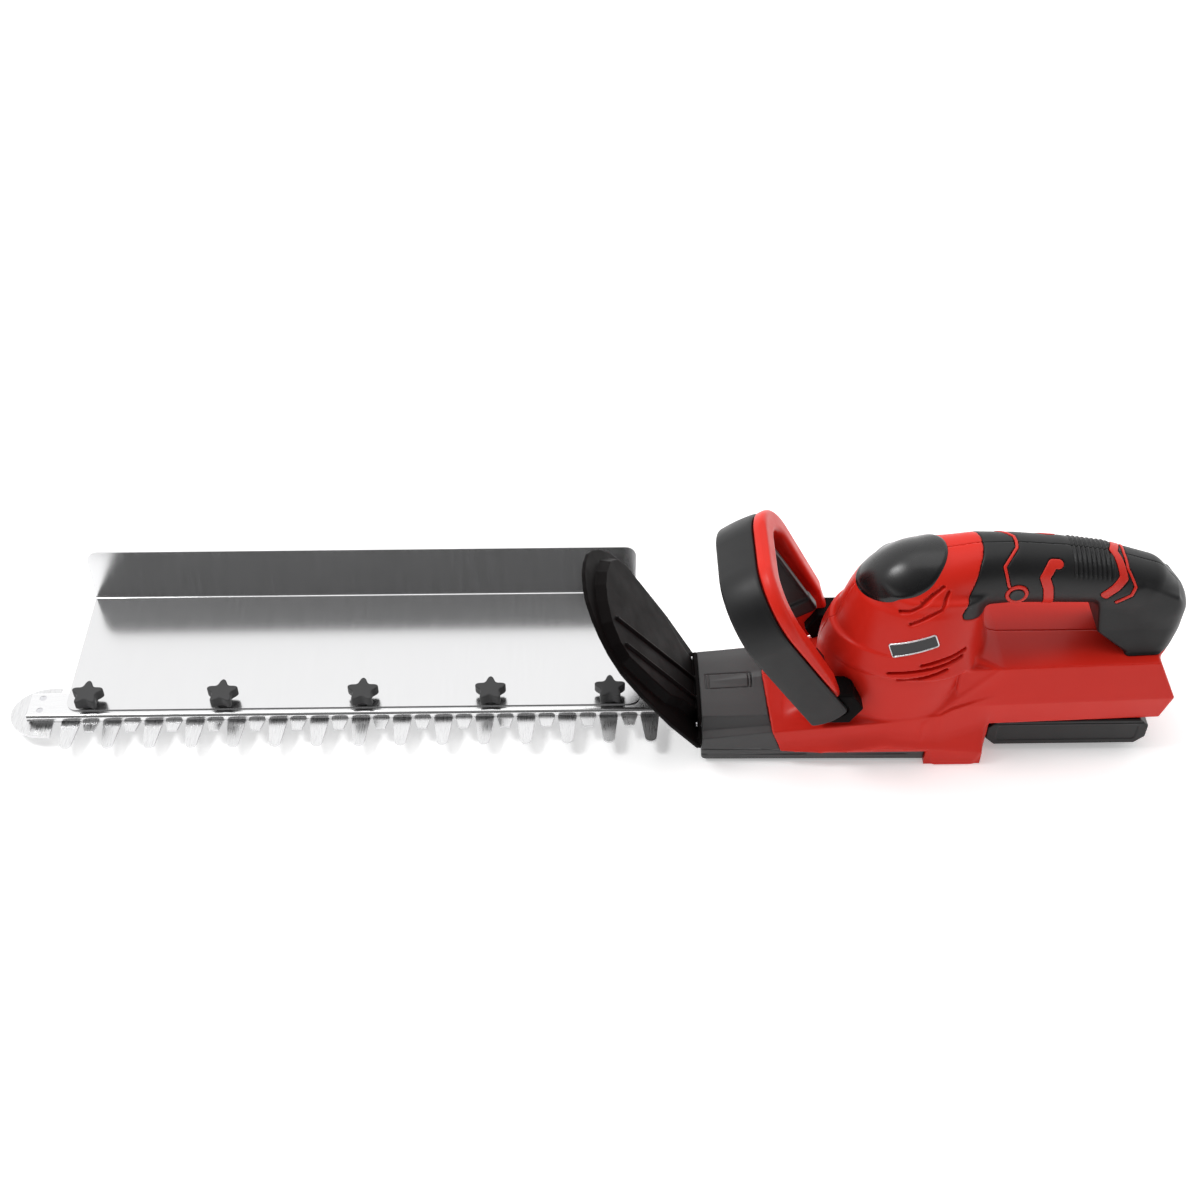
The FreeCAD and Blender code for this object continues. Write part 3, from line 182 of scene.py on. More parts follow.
def net(field, low, high, step):
    """Closed mesh, as points in millimetres and quads, of the space where the field is negative."""
    step *= FINE
    axes = [np.arange(a - 1.5 * step, b + 2.5 * step, step) for a, b in zip(low, high)]
    grid = np.meshgrid(*axes, indexing="ij", sparse=True)
    values = np.array(np.broadcast_to(field(*grid), [len(axis) for axis in axes]))
    for axis in range(3):
        edge = [slice(None)] * 3
        for place in (0, -1):
            edge[axis] = place
            values[tuple(edge)] = np.maximum(values[tuple(edge)], 0.01)
    inside = values < 0
    wide, deep, high = (size - 1 for size in inside.shape)
    count = sum(inside[i:wide + i, j:deep + j, k:high + k].astype(int) for i, j, k in CORNERS)
    crossed = (count > 0) & (count < 8)
    number = np.full(crossed.shape, -1)
    number[crossed] = np.arange(crossed.sum())
    points = cell_points(values, np.argwhere(crossed)) * step + [axis[0] for axis in axes]
    return onto_surface(field, points, step), cell_quads(inside, number)


def mesh_object(name, points, quads):
    """Object in metres from points in millimetres and quads."""
    mesh = bpy.data.meshes.new(name)
    mesh.vertices.add(len(points))
    mesh.vertices.foreach_set("co", (points * MM).astype(np.float32).ravel())
    mesh.loops.add(quads.size)
    mesh.loops.foreach_set("vertex_index", quads.astype(np.int32).ravel())
    mesh.polygons.add(len(quads))
    mesh.polygons.foreach_set("loop_start", np.arange(0, quads.size, 4, dtype=np.int32))
    mesh.polygons.foreach_set("use_smooth", np.ones(len(quads), bool))
    mesh.update(calc_edges=True)
    mesh.validate()
    made = bpy.data.objects.new(name, mesh)
    bpy.context.scene.collection.objects.link(made)
    return made


def piece(name, field, low, high, step, body, material, replaced=()):
    """Mesh a field inside a box, set the piece's body and material, and hide the nodes it stands for."""
    points, quads = net(field, low, high, step)
    points[:, 2] = np.clip(points[:, 2], 0, TOP)
    made = mesh_object(name, points, quads)
    made.data.materials.append(material)
    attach(made, body)
    if replaced:
        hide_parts(*replaced)
    return made


# ------------------------------------------------------------------ materials
def new_material(name, colour, metal=0.0, rough=0.4, **shader):
    """Principled material; extra words set sockets of the shader by name."""
    material = bpy.data.materials.new(name)
    material.use_nodes = True
    bsdf = material.node_tree.nodes["Principled BSDF"]
    bsdf.inputs["Base Color"].default_value = (*colour, 1)
    bsdf.inputs["Metallic"].default_value = metal
    bsdf.inputs["Roughness"].default_value = rough
    for word, value in shader.items():
        bsdf.inputs[word.replace("_", " ")].default_value = value
    return material


MIX_FIRST, MIX_SECOND, MIX_RESULT = 6, 7, 2  # the mix node's colour sockets, by place


class Nodes:
    """Small helper that adds nodes to a material and links them."""

    def __init__(self, material):
        self.tree = material.node_tree
        self.bsdf = self.tree.nodes["Principled BSDF"]
        self.place = self.tree.nodes.new("ShaderNodeTexCoord").outputs["Object"]

    def add(self, kind, **values):
        node = self.tree.nodes.new(kind)
        for word, value in values.items():
            setattr(node, word, value)
        return node

    def link(self, out, socket):
        self.tree.links.new(out, socket)

    def noise(self, scale, detail=3.0, stretch=(1, 1, 1)):
        spread = self.add("ShaderNodeMapping")
        spread.inputs["Scale"].default_value = stretch
        self.link(self.place, spread.inputs["Vector"])
        node = self.add("ShaderNodeTexNoise")
        node.inputs["Scale"].default_value = scale
        node.inputs["Detail"].default_value = detail
        self.link(spread.outputs["Vector"], node.inputs["Vector"])
        return node.outputs["Fac"]

    def ramp(self, source, low, high, start=0.3, end=0.7):
        """A number that goes from low to high as the source goes from start to end."""
        node = self.add("ShaderNodeMapRange")
        for word, value in (("From Min", start), ("From Max", end), ("To Min", low), ("To Max", high)):
            node.inputs[word].default_value = value
        self.link(source, node.inputs["Value"])
        return node.outputs["Result"]

    def tint(self, source, first, second, start=0.3, end=0.7):
        """A colour that goes from first to second as the source goes from start to end."""
        node = self.add("ShaderNodeValToRGB")
        stops = node.color_ramp.elements
        stops[0].position, stops[0].color = start, (*first, 1)
        stops[1].position, stops[1].color = end, (*second, 1)
        self.link(source, node.inputs["Fac"])
        return node.outputs["Color"]

    def painted_edge_highlight(self, colour, edge_highlight_colour):
        """Colour that lightens on convex edges: a painted highlight where light would catch them."""
        shape = self.add("ShaderNodeNewGeometry")
        node = self.add("ShaderNodeMix", data_type="RGBA")
        node.inputs[MIX_SECOND].default_value = (*edge_highlight_colour, 1)
        self.link(colour, node.inputs[MIX_FIRST])
        self.link(self.ramp(shape.outputs["Pointiness"], 0, 0.55, 0.53, 0.62), node.inputs["Factor"])
        return node.outputs[MIX_RESULT]

    def bump(self, source, distance, strength=0.5):
        node = self.add("ShaderNodeBump")
        node.inputs["Distance"].default_value = distance
        node.inputs["Strength"].default_value = strength
        self.link(source, node.inputs["Height"])
        self.link(node.outputs["Normal"], self.bsdf.inputs["Normal"])


def plastic(name, colour, rough, grain, depth, edge_highlight_colour=None, spread=0.06, specular=0.5):
    """Moulded plastic: fine spark texture, faint colour change and, where an edge colour is given, a painted
    highlight on convex edges.
    """
    material = new_material(name, colour, rough=rough, Specular_IOR_Level=specular)
    n = Nodes(material)
    broad = n.noise(9, 2)
    fine = n.noise(grain, 2)
    dark = [c * (1 - spread) for c in colour]
    light = [min(1, c * (1 + spread)) for c in colour]
    shade = n.tint(broad, dark, light)
    # Convex edges lighten towards the edge colour: a painted highlight.
    if edge_highlight_colour:
        shade = n.painted_edge_highlight(shade, edge_highlight_colour)
    n.link(shade, n.bsdf.inputs["Base Color"])
    n.link(n.ramp(n.noise(60, 3), rough - 0.05, rough + 0.06), n.bsdf.inputs["Roughness"])
    n.bump(fine, depth, 0.35)
    return material


def brushed(name, colour, rough, stretch, scale=60.0, depth=0.00002, spread=0.1, vary=0.07):
    """Ground or rolled metal with fine lines along one direction."""
    material = new_material(name, colour, metal=1.0, rough=rough)
    n = Nodes(material)
    lines = n.noise(scale, 4, stretch)
    n.link(n.tint(lines, [c * (1 - spread) for c in colour], [min(1, c * (1 + spread)) for c in colour]),
           n.bsdf.inputs["Base Color"])
    n.link(n.ramp(lines, rough - vary, rough + vary), n.bsdf.inputs["Roughness"])
    n.bump(lines, depth, 0.4)
    return material


RED = (0.66, 0.022, 0.012)
# The second colour given to plastic() is the painted highlight on its convex edges.
MATERIALS = {
    "red_shell": plastic("red_shell_finish", RED, 0.34, 900, 0.00006, (0.75, 0.05, 0.035), specular=0.18),
    "red_trim": plastic("red_trim_finish", (0.66, 0.026, 0.015), 0.38, 900, 0.00005, specular=0.3),
    "black_grip": plastic("black_grip_finish", (0.010, 0.010, 0.0105), 0.42, 1400, 0.00006,
                          (0.03, 0.03, 0.03), specular=0.3),
    "black_gloss": plastic("black_gloss_finish", (0.006, 0.006, 0.0065), 0.26, 500, 0.00002, specular=0.45),
    "black_button": plastic("black_button_finish", (0.010, 0.010, 0.011), 0.36, 900, 0.00005, specular=0.35),
    "guard_black": plastic("guard_black_finish", (0.005, 0.004, 0.004), 0.46, 1100, 0.00005,
                           (0.02, 0.02, 0.02), specular=0.03),
    "grey_case": plastic("grey_case_finish", (0.068, 0.068, 0.069), 0.47, 1300, 0.00008,
                         (0.13, 0.13, 0.13), specular=0.35),
    "knob_grey": plastic("knob_grey_finish", (0.045, 0.045, 0.046), 0.5, 1300, 0.00008,
                         (0.08, 0.08, 0.08), specular=0.25),
    "battery_black": plastic("battery_black_finish", (0.009, 0.009, 0.0095), 0.42, 1200, 0.00007,
                             (0.03, 0.03, 0.03), specular=0.35),
    "inner_plastic": plastic("inner_plastic_finish", (0.04, 0.04, 0.042), 0.45, 900, 0.00006),
    "dark_spacer": plastic("dark_spacer_finish", (0.05, 0.05, 0.05), 0.45, 900, 0.00006),
    "blade_steel": brushed("blade_steel_finish", (0.64, 0.64, 0.645), 0.3, (12, 1, 12), 110, 0.00001,
                           0.06, 0.06),
    "bar_aluminium": brushed("bar_aluminium_finish", (0.74, 0.74, 0.745), 0.22, (1, 14, 14), 70, 0.000003,
                             0.03, 0.03),
    "sheet_metal": brushed("sheet_metal_finish", (0.67, 0.67, 0.675), 0.2, (12, 1, 1), 30, 0.0000003,
                           0.008, 0.012),
    "zinc_fastener": brushed("zinc_fastener_finish", (0.6, 0.6, 0.62), 0.32, (1, 1, 1), 400),
    "label_plate": plastic("label_plate_finish", (0.02, 0.02, 0.022), 0.35, 600, 0.00002),
    "gear_steel": brushed("gear_steel_finish", (0.5, 0.5, 0.51), 0.3, (1, 1, 14), 200),
    "motor_steel": brushed("motor_steel_finish", (0.42, 0.42, 0.43), 0.34, (1, 1, 14), 120),
    "bronze_bush": brushed("bronze_bush_finish", (0.55, 0.34, 0.14), 0.38, (1, 1, 14), 160),
    "plate_aluminium": brushed("plate_aluminium_finish", (0.7, 0.7, 0.71), 0.4, (14, 1, 1), 120),
    "board_green": plastic("board_green_finish", (0.03, 0.17, 0.06), 0.3, 500, 0.00004),
    "cell_wrap": plastic("cell_wrap_finish", (0.08, 0.22, 0.5), 0.25, 300, 0.00003),
}
SILVER = brushed("silver_border_finish", (0.62, 0.63, 0.64), 0.3, (1, 8, 8), 120)


# ------------------------------------------------------------------ the tool's body
# Breakpoints are lists of x or z, with the half widths or levels that belong to them.
BODY_X = (-66, 64, 102)
BODY_HALF = (46.3, 47.6, 41.5)
LEDGE_X = (-66, -58, 24, 62, 70, 102)
LEDGE_Z = (31.5, 33.5, 43.7, 51, 56, 66)
REAR_WALL = 102.0
BAY_LEVELS = (20, 33, 57, 90)
BAY_HALF = (38.4, 40, 43, 38)
BAY_END = (225, 228, 233, 217)
GRIP_CHAIN = ((56, 149, 24, 27), (80, 153, 25, 25), (104, 154, 24.3, 23.2), (135, 152.2, 23.3, 22.3),
              (166, 149, 21.2, 21), (198, 138, 21, 20.8), (212, 122, 21.5, 21), (213, 107, 20, 21))
POST = ((166, 140), (170.5, 110.5), (200, 87), (222, 87), (229, 94), (236, 108), (232, 122), (222, 138),
        (195, 150))
HANDLE_EDGE_Z = (100, 136, 141, 150, 163, 172, 178)
HANDLE_EDGE_X = (128, 68, 66.8, 71, 75, 77.6, 81)


def base_block(x, ay, z):
    """Lower block: side walls, a sloping ledge, a chamfered foot and a narrower rear."""
    half = np.interp(x, BODY_X, BODY_HALF)
    foot = (ay - half + 3.2 - z) * 0.72
    top = (z - np.interp(x, LEDGE_X, LEDGE_Z)) - 0.3 * (half - ay)
    body = smooth_max(ay - half, smooth_max(top, foot, 0.8), 1.0)
    return smooth_max(smooth_max(body, smooth_max(x - REAR_WALL, -68 - x, 1), 5), -z, 1.5)


def upper_block(x, ay, z):
    """Saddle between the gear case and the dome."""
    side = (ay - np.interp(x, (-66, -20, 24, 102), (36.5, 40, 44, 40)) + (z - 40) * 0.42) * 0.92
    top = (z - np.interp(x, (-66, -50, -12, 20, 102), (41, 42.5, 62, 80, 84)) + 0.004 * ay ** 2) * 0.9
    return smooth_max(smooth_max(side, top, 7), smooth_max(x - 98, -68 - x, 1), 2)


def skirt(x, ay, z):
    """Oval wall under the dome whose top edge flares in, as a low step round the air slots."""
    q = np.sqrt(((x - 42) / np.where(x > 42, 50, 66)) ** 2 + (ay / 47.8) ** 2)
    wall = (q - 1) * 47.8
    flare = (wall + (z - 88) * 0.22) * 0.97
    return smooth_max(smooth_max(wall, flare, 2), slab(z, 20, 106.5), 1.2)


DOME_X, DOME_Z = 47.0, 106.0
DOME_REAR, DOME_FRONT, DOME_HALF, DOME_HIGH = 42.0, 57.0, 43.0, 66.0


def dome(x, ay, z):
    """Egg-shaped motor cover on a spreading foot, shorter behind its middle than in front."""
    plan = ((x - DOME_X) / np.where(x > DOME_X, DOME_REAR, DOME_FRONT)) ** 2 + (ay / DOME_HALF) ** 2
    q = np.sqrt(plan + ((z - DOME_Z) / DOME_HIGH) ** 2)
    wide = np.sqrt(plan)
    foot = smooth_max((wide - 0.84 - (142 - z) * 0.0066) * 40, slab(z, 90, 140), 3)
    return smooth_max(smooth_min((q - 1) * 44, foot, 5), 70 - z, 2)


def bay(x, ay, z):
    """Battery bay: six-sided, with a belt line, a flat top and a rear end that slopes both ways."""
    side = ay - np.interp(z, BAY_LEVELS, BAY_HALF) + (x - 105) * 0.036
    rear = (x - np.interp(z, BAY_LEVELS, BAY_END)) * 0.93
    return smooth_max(smooth_max(side, rear, 1.2), smooth_max(slab(z, 33, 90), 72 - x, 1), 1.2)


SHOULDER_FOOT, SHOULDER_BEND = (66, 46, 21), (64, 46, 55.6)
SHOULDER_TOP, SHOULDER_BACK = (80, 30, 97), (101, 39, 90)


def shoulder(x, ay, z):
    """Faceted block that joins the dome's foot to the battery bay."""
    bright = plane(x, ay, z, SHOULDER_BEND, SHOULDER_TOP, SHOULDER_BACK)
    dark = plane(x, ay, z, SHOULDER_FOOT, SHOULDER_BEND, SHOULDER_BACK)
    sides = smooth_max(bright, dark, 0.8)
    top = (z - 97 + (x - 80) * 0.3) * 0.95
    return smooth_max(smooth_max(sides, top, 2), smooth_max(slab(x, 50, 104), 20 - z, 1), 1)


def grip_bar(x, ay, z):
    """Bar swept along the handle: each station gives x, z, half height and half width."""
    best = None
    for (x0, z0, b0, a0), (x1, z1, b1, a1) in zip(GRIP_CHAIN, GRIP_CHAIN[1:]):
        dx, dz = x1 - x0, z1 - z0
        t = np.clip(((x - x0) * dx + (z - z0) * dz) / (dx * dx + dz * dz), 0, 1)
        high, wide = b0 + (b1 - b0) * t, a0 + (a1 - a0) * t
        q = np.hypot(x - x0 - t * dx, z - z0 - t * dz) / high
        d = ((q ** 2.25 + (ay / wide) ** 2.25) ** (1 / 2.25) - 1) * np.minimum(high, wide)
        best = d if best is None else np.minimum(best, d)
    return best


def grip_post(x, ay, z):
    """Wedge-shaped post behind the hand opening, wider at its foot."""
    side = (ay - np.interp(z, (87, 112, 150), (27, 21.5, 18)) - (200 - x) * 0.05) * 0.95
    taper = (x - 234 + 0.026 * ay ** 2) * 0.8
    return smooth_max(smooth_max(polygon(x, z, POST) - 1, side, 3), taper, 3)


def handle_volume(x, y, z):
    """Bar and post of the rear handle together."""
    ay = np.abs(y)
    return smooth_min(grip_bar(x, ay, z), grip_post(x, ay, z), 4)


def shell_volume(x, y, z):
    """Everything that the red shell and the rear handle fill together."""
    ay = np.abs(y)
    low = smooth_min(base_block(x, ay, z), upper_block(x, ay, z), 2.0)
    low = smooth_min(low, skirt(x, ay, z), 2.5)
    low = smooth_min(low, bay(x, ay, z), 1.0)
    low = smooth_min(low, shoulder(x, ay, z), 0.8)
    neck = (((np.abs(x - 52) / 36) ** 3 + (ay / 34) ** 3) ** (1 / 3) - 1) * 34
    high = smooth_min(dome(x, ay, z), smooth_max(neck, slab(z, 80, 150), 3), 5)
    high = smooth_min(low, high, 3.0)
    return smooth_min(high, handle_volume(x, y, z), 4)


def handle_region(x, y, z):
    """Negative where the soft handle covers the body: behind its front edge and above its lower edge."""
    front = (np.interp(z, HANDLE_EDGE_Z, HANDLE_EDGE_X) - x) * 0.75
    below = np.interp(x, (60, 68.4, 80, 96), (135, 135.5, 132, 131)) - z
    bottom = np.where(x > 96, 90.2 - z, below)
    return smooth_max(front, bottom, 2.5)


SEAM_FOOT, SEAM_LEVEL, SEAM_SLOPE = -50.8, 14.0, 0.385


def seam(x, z):
    """Distance ahead of the slanted joint between gear case and housing, negative behind the joint."""
    return (SEAM_FOOT - SEAM_SLOPE * (z - SEAM_LEVEL) - x) * 0.93


VENTS = (((42, 103), (55, 107), (72, 110)), ((20, 94), (45, 99.7), (70, 105.5)),
         ((27, 89), (45, 93.7), (59.5, 98.6)))
CHEVRONS = (((24.2, 142.4), (30.6, 144.2), (52.4, 159.6)), ((31.3, 135.4), (51.5, 146.4), (56.1, 156.2)))


def grooves(x, y, z, depth_field):
    """Air slots and the two chevron lines, cut into the body to a depth."""
    cuts = None
    for points in VENTS:
        d = smooth_max(polyline(x, z, points) - 1.45, -(depth_field + 5), 0.4)
        cuts = d if cuts is None else np.minimum(cuts, d)
    for points in CHEVRONS:
        d = smooth_max(polyline(x, z, points) - 1.35, -(depth_field + 2.4), 0.4)
        cuts = np.minimum(cuts, d)
    return cuts


def housing(side):
    """One half of the red shell, side -1 near or +1 far, with room for the battery's rail."""
    def field(x, y, z):
        volume = shell_volume(x, y, z)
        body = smooth_max(volume, -(handle_region(x, y, z) - 0.15), 0.5)
        body = smooth_max(body, seam(x, z) + 0.12, 0.6)
        body = smooth_max(body, -grooves(x, y, z, volume), 0.5)
        rail = np.maximum(np.maximum(np.abs(y) - 27, z - 46), 104 - x)
        pack = np.maximum(101.7 - x, z - 33)
        floor = np.maximum(slab(x, -80, 56.2), z - 14.15)
        body = smooth_max(body, -np.minimum(np.minimum(rail, pack), floor), 0.4)
        return smooth_max(body, 0.03 - side * y, 0.1)
    low, high = (-68, 0, 0), (234, 48.5, 181)
    if side < 0:
        low, high = (-68, -48.5, 0), (234, 0, 181)
    return field, low, high


# ------------------------------------------------------------------ rear handle
AXIS_X = [station[0] for station in GRIP_CHAIN]
AXIS_Z = [station[1] for station in GRIP_CHAIN]
GRIP_GIRTH = 24.0


def round_grip(x, y, z):
    """Distance round the handle's bar from its side, up to the top and mirrored beyond it."""
    rise = z - np.interp(x, AXIS_X, AXIS_Z)
    return np.arctan2(rise, np.abs(y)) * GRIP_GIRTH


THIN_LINE = ((104, 38), (103.4, 32), (94, 18.6), (97.9, 4.5), (100, 1))
HOOK = ((131.5, 21), (127.5, 21), (122.5, 11), (126, 2), (129.5, -16), (129.5, -28))
BEND = ((173, 38), (175.6, 31), (179, 16.5), (173.8, 6.7), (167.4, -3))
THIN_BEND = ((181, 38), (182, 24), (188.2, 12), (186.2, 4), (176.6, -7))


def trim_lines(x, y, z):
    """Red inlays of the handle: thin line, hook, bend and the thin bend beside it."""
    w = round_grip(x, y, z)
    wide = np.minimum(polyline(x, w, HOOK) - 3.6, polyline(x, w, BEND) - 3.1)
    return np.minimum(wide, np.minimum(polyline(x, w, THIN_LINE) - 1.1, polyline(x, w, THIN_BEND) - 1.1))


def ribs(x, y, z):
    """Height of the eight low ribs that run round the bar."""
    wave = np.cos((x - 141) * (2 * math.pi / 3.4))
    fade = np.clip((15.5 - np.abs(x - 157)) / 2, 0, 1) * np.clip((round_grip(x, y, z) - 11) / 4, 0, 1)
    return 0.7 * wave * fade


BUTTON_X, BUTTON_Z = 104.8, 150.0
BUTTON_HOLE, BUTTON_FLOOR = 8.1, -4.5
TRIGGER_SLOT_X, TRIGGER_SLOT_HALF, TRIGGER_SLOT_TOP = (109.6, 146.4), 6.4, 150.0


def handle(side):
    """One half of the soft handle, side -1 near or +1 far, with its ribs, trim lines and holes."""
    def field(x, y, z):
        body = smooth_max(shell_volume(x, y, z) - ribs(x, y, z), handle_region(x, y, z) + 0.15, 0.7)
        body = smooth_max(body, -(np.abs(trim_lines(x, y, z)) - 0.35), 0.3)
        if side < 0:
            hole = np.maximum(np.hypot(x - BUTTON_X, z - BUTTON_Z) - BUTTON_HOLE, y - BUTTON_FLOOR)
            body = smooth_max(body, -hole, 0.4)
        slot = np.maximum(slab(x, *TRIGGER_SLOT_X), np.abs(y) - TRIGGER_SLOT_HALF)
        slot = np.maximum(slot, z - TRIGGER_SLOT_TOP)
        body = smooth_max(body, -slot, 0.5)
        return smooth_max(body, 0.03 - side * y, 0.1)
    low, high = (60, 0, 86), (238, 34, 182)
    if side < 0:
        low, high = (60, -34, 86), (238, 0, 182)
    return field, low, high


def trim_field(x, y, z):
    """Red inlays, standing a little proud of the handle."""
    volume = smooth_max(shell_volume(x, y, z), handle_region(x, y, z) + 0.6, 0.5)
    ring = np.hypot(x - BUTTON_X, z - BUTTON_Z) - 8.5
    return smooth_max(smooth_max(np.abs(volume + 0.35) - 0.75, trim_lines(x, y, z) + 0.1, 0.5),
                      -np.maximum(ring, y), 0.3)


def lathe_y(x, y, z, inner, outer, low, high, k=0.8):
    """Ring, or a disc where inner is 0, about the lock button's axis."""
    r = np.hypot(x - BUTTON_X, z - BUTTON_Z)
    body = smooth_max(r - outer, slab(y, low, high), k)
    return smooth_max(body, inner - r, k) if inner else body


def button_field(x, y, z):
    """Lock button with a dished face."""
    dish = np.sqrt((x - BUTTON_X) ** 2 + (z - BUTTON_Z) ** 2 + (y + 43.5) ** 2) - 19.2
    return smooth_max(lathe_y(x, y, z, 0, 5.0, -25, -9.2), -dish, 0.5)


def trigger_field(x, y, z):
    """Finger lever: a block whose front edge curves in."""
    stem = smooth_max(slab(x, 110.2, 145.8), smooth_max(np.abs(y) - 5.8, slab(z, 125.2, 141), 2.5), 2)
    finger = np.hypot(x - 116, z - 116.5) - 10.5
    return smooth_max(stem, -finger, 1.5)


# ------------------------------------------------------------------ gear case and lower cover
CASE_FRONT = -109.0
CASE_REAR = -48.0
BAR_SLOT_HALF, BAR_SLOT_DEPTH = 14.0, 6.0
BAR_SLOT_Z = (12.0, 22.2)
CASE_HALF_FRONT = ((45.5, 14), (44, 24), (37.5, 26), (32.7, 36.3), (21.7, 38))
CASE_HALF_REAR = ((46.5, 14), (45, 31.5), (38.5, 33.5), (31.0, 41), (21.0, 41.8))


def case_facet(x, ay, z, first):
    """Plane of one long facet of the gear case, between section corners first and first + 1."""
    a, b = CASE_HALF_FRONT[first], CASE_HALF_FRONT[first + 1]
    c = CASE_HALF_REAR[first]
    return plane(x, ay, z, (CASE_FRONT, *a), (CASE_FRONT, *b), (CASE_REAR, *c))


def case_top(x, ay, z):
    """Plane of the gear case's top, which rises towards the rear."""
    return plane(x, ay, z, (CASE_FRONT, 0, 38), (CASE_FRONT, 21.7, 38), (CASE_REAR, 0, 41.8))


def case_section(x, ay, z):
    """Stepped outline of the gear case: wide below its ledge, chamfered above it."""
    lower = smooth_max(case_facet(x, ay, z, 0), case_facet(x, ay, z, 1), 0.7)
    upper = smooth_max(case_facet(x, ay, z, 2), case_facet(x, ay, z, 3), 0.7)
    return smooth_min(lower, smooth_max(upper, case_top(x, ay, z), 0.6), 0.4)


def gear_case_field(x, y, z):
    """Gear case with two nested outlines cut into its top, and the upper part of the bar's slot."""
    ay = np.abs(y)
    top = case_top(x, ay, z)
    body = case_section(x, ay, z)
    frame_line = np.abs(np.maximum(slab(x, -104.3, -70.5), ay - 7.2)) - 0.5
    inner_line = np.abs(np.maximum(slab(x, -102.0, -72.8), ay - 7.2)) - 0.4
    body = smooth_max(body, -np.maximum(np.minimum(frame_line, inner_line), -(top + 0.9)), 0.3)
    body = smooth_max(body, smooth_max(CASE_FRONT - x, -seam(x, z) + 0.12, 0.5), 0.8)
    slot = np.maximum(np.maximum(ay - BAR_SLOT_HALF, slab(z, *BAR_SLOT_Z)), x - CASE_FRONT - BAR_SLOT_DEPTH)
    return smooth_max(smooth_max(body, -slot, 0.4), 14.2 - z, 0.4)


def cover_field(x, y, z):
    """Lower cover with a chamfered foot, a line along its sides and the lower part of the bar's slot."""
    ay = np.abs(y)
    half = np.interp(x, (CASE_FRONT, 56), (45.5, 47.5))
    body = smooth_max(ay - half, slab(z, 0, 13.95), 0.7)
    body = smooth_max(body, (ay - half + 3.4 - z) * 0.72, 0.8)
    body = smooth_max(body, smooth_max(CASE_FRONT - x, x - 55.9, 0.5), 0.8)
    body = smooth_max(body, (CASE_FRONT + 5 - x - z) * 0.71, 1)
    slot = np.maximum(np.maximum(ay - BAR_SLOT_HALF, BAR_SLOT_Z[0] - z), x - CASE_FRONT - BAR_SLOT_DEPTH)
    line = np.maximum(np.abs(z - 8.6) - 0.35, -(ay - half + 0.7))
    return smooth_max(smooth_max(body, -slot, 0.4), -line, 0.25)


# ------------------------------------------------------------------ cap and rating plate
CAP_CENTRE = (27.5, 156.5)
CAP_TILT = math.radians(29.7)


def cap_plan(x, y, z):
    """Signed distance to the cap's oval, seen square on."""
    along = (x - CAP_CENTRE[0]) * math.cos(CAP_TILT) + (z - CAP_CENTRE[1]) * math.sin(CAP_TILT)
    return (np.sqrt((along / 34.3) ** 2 + (y / 28.5) ** 2) - 1) * 28.5


def cap_field(x, y, z):
    """Glossy cap that lies 1.1 mm proud of the dome."""
    out = (z - 120) * math.cos(CAP_TILT) - (x - 40) * math.sin(CAP_TILT)
    shape = smooth_max(shell_volume(x, y, z) - 1.1, cap_plan(x, y, z), 1.6)
    return smooth_max(shape, 8 - out, 1)


LABEL_X, LABEL_Z = 35.0, 118.6
LABEL_TILT = math.radians(21.5)


def label_plan(x, z):
    """Signed distance to the rating plate's outline, seen from the side."""
    u = (x - LABEL_X) * math.cos(LABEL_TILT) + (z - LABEL_Z) * math.sin(LABEL_TILT)
    v = (z - LABEL_Z) * math.cos(LABEL_TILT) - (x - LABEL_X) * math.sin(LABEL_TILT)
    return rounded_box(u, v, 17.0, 5.2, 1.8)


def label_border(x, y, z):
    """Rim of the rating plate, on the near side only."""
    plan = label_plan(x, z)
    body = smooth_max(np.abs(shell_volume(x, y, z)) - 0.6, plan, 0.3)
    return smooth_max(smooth_max(body, -(plan + 0.9), 0.2), y, 0.2)


def label_face(x, y, z):
    """Blank face of the rating plate, inside its rim."""
    return smooth_max(smooth_max(np.abs(shell_volume(x, y, z)) - 0.35, label_plan(x, z) + 0.8, 0.2), y, 0.2)


# ------------------------------------------------------------------ leaning loop handle and guard
def leaning(x, z, lean, foot_x, foot_z):
    """Distances up the lean and out of its plane, towards the rear."""
    s, c = math.sin(lean), math.cos(lean)
    return (z - foot_z) * c - (x - foot_x) * s, (x - foot_x) * c + (z - foot_z) * s


LOOP = (math.radians(32.3), -31.0, 47.8)
LOOP_TOP = 134.0
LOOP_ROUND = 44.0


def loop_depth(y, up, out):
    """How far a point lies inside the loop's outer line, negative outside it."""
    half = np.interp(up, (0, 40, 90), (55, 57.5, 60))
    qu, qv = np.abs(y) - half + LOOP_ROUND, up - LOOP_TOP + LOOP_ROUND
    return -(np.hypot(np.maximum(qu, 0), np.maximum(qv, 0)) + np.minimum(np.maximum(qu, qv), 0) - LOOP_ROUND)


def loop_places(x, y, z):
    """Distances up the loop's lean, out of its plane, and in from its outer line."""
    up, out = leaning(x, z, *LOOP)
    return up, out, loop_depth(y, up, out)


def strap_field(x, y, z):
    """Soft outer strap: crowned across, with a rounded lower end."""
    up, out, depth = loop_places(x, y, z)
    crown = depth - 0.0045 * (out - 14.5) ** 2
    body = smooth_max(smooth_max(-crown, depth - 5.2, 1.2), slab(out, 0, 29), 2.0)
    return smooth_max(body, -2 - up + 0.012 * (out - 14) ** 2, 2)


def loop_field(x, y, z):
    """Red loop inside the strap; its rear edge reaches further back at the top."""
    up, out, depth = loop_places(x, y, z)
    back = np.interp(up, (0, 30, 100, 134), (27, 34, 38.5, 39.5))
    swell = smooth_max(slab(depth, 5.3, 18), slab(out, 2, 60), 2)
    lip = smooth_max(slab(depth, 1.2, 18), 30 - out, 2)
    body = smooth_max(smooth_min(swell, lip, 1.5), out - back, 5)
    return smooth_max(body, -4 - up, 2)


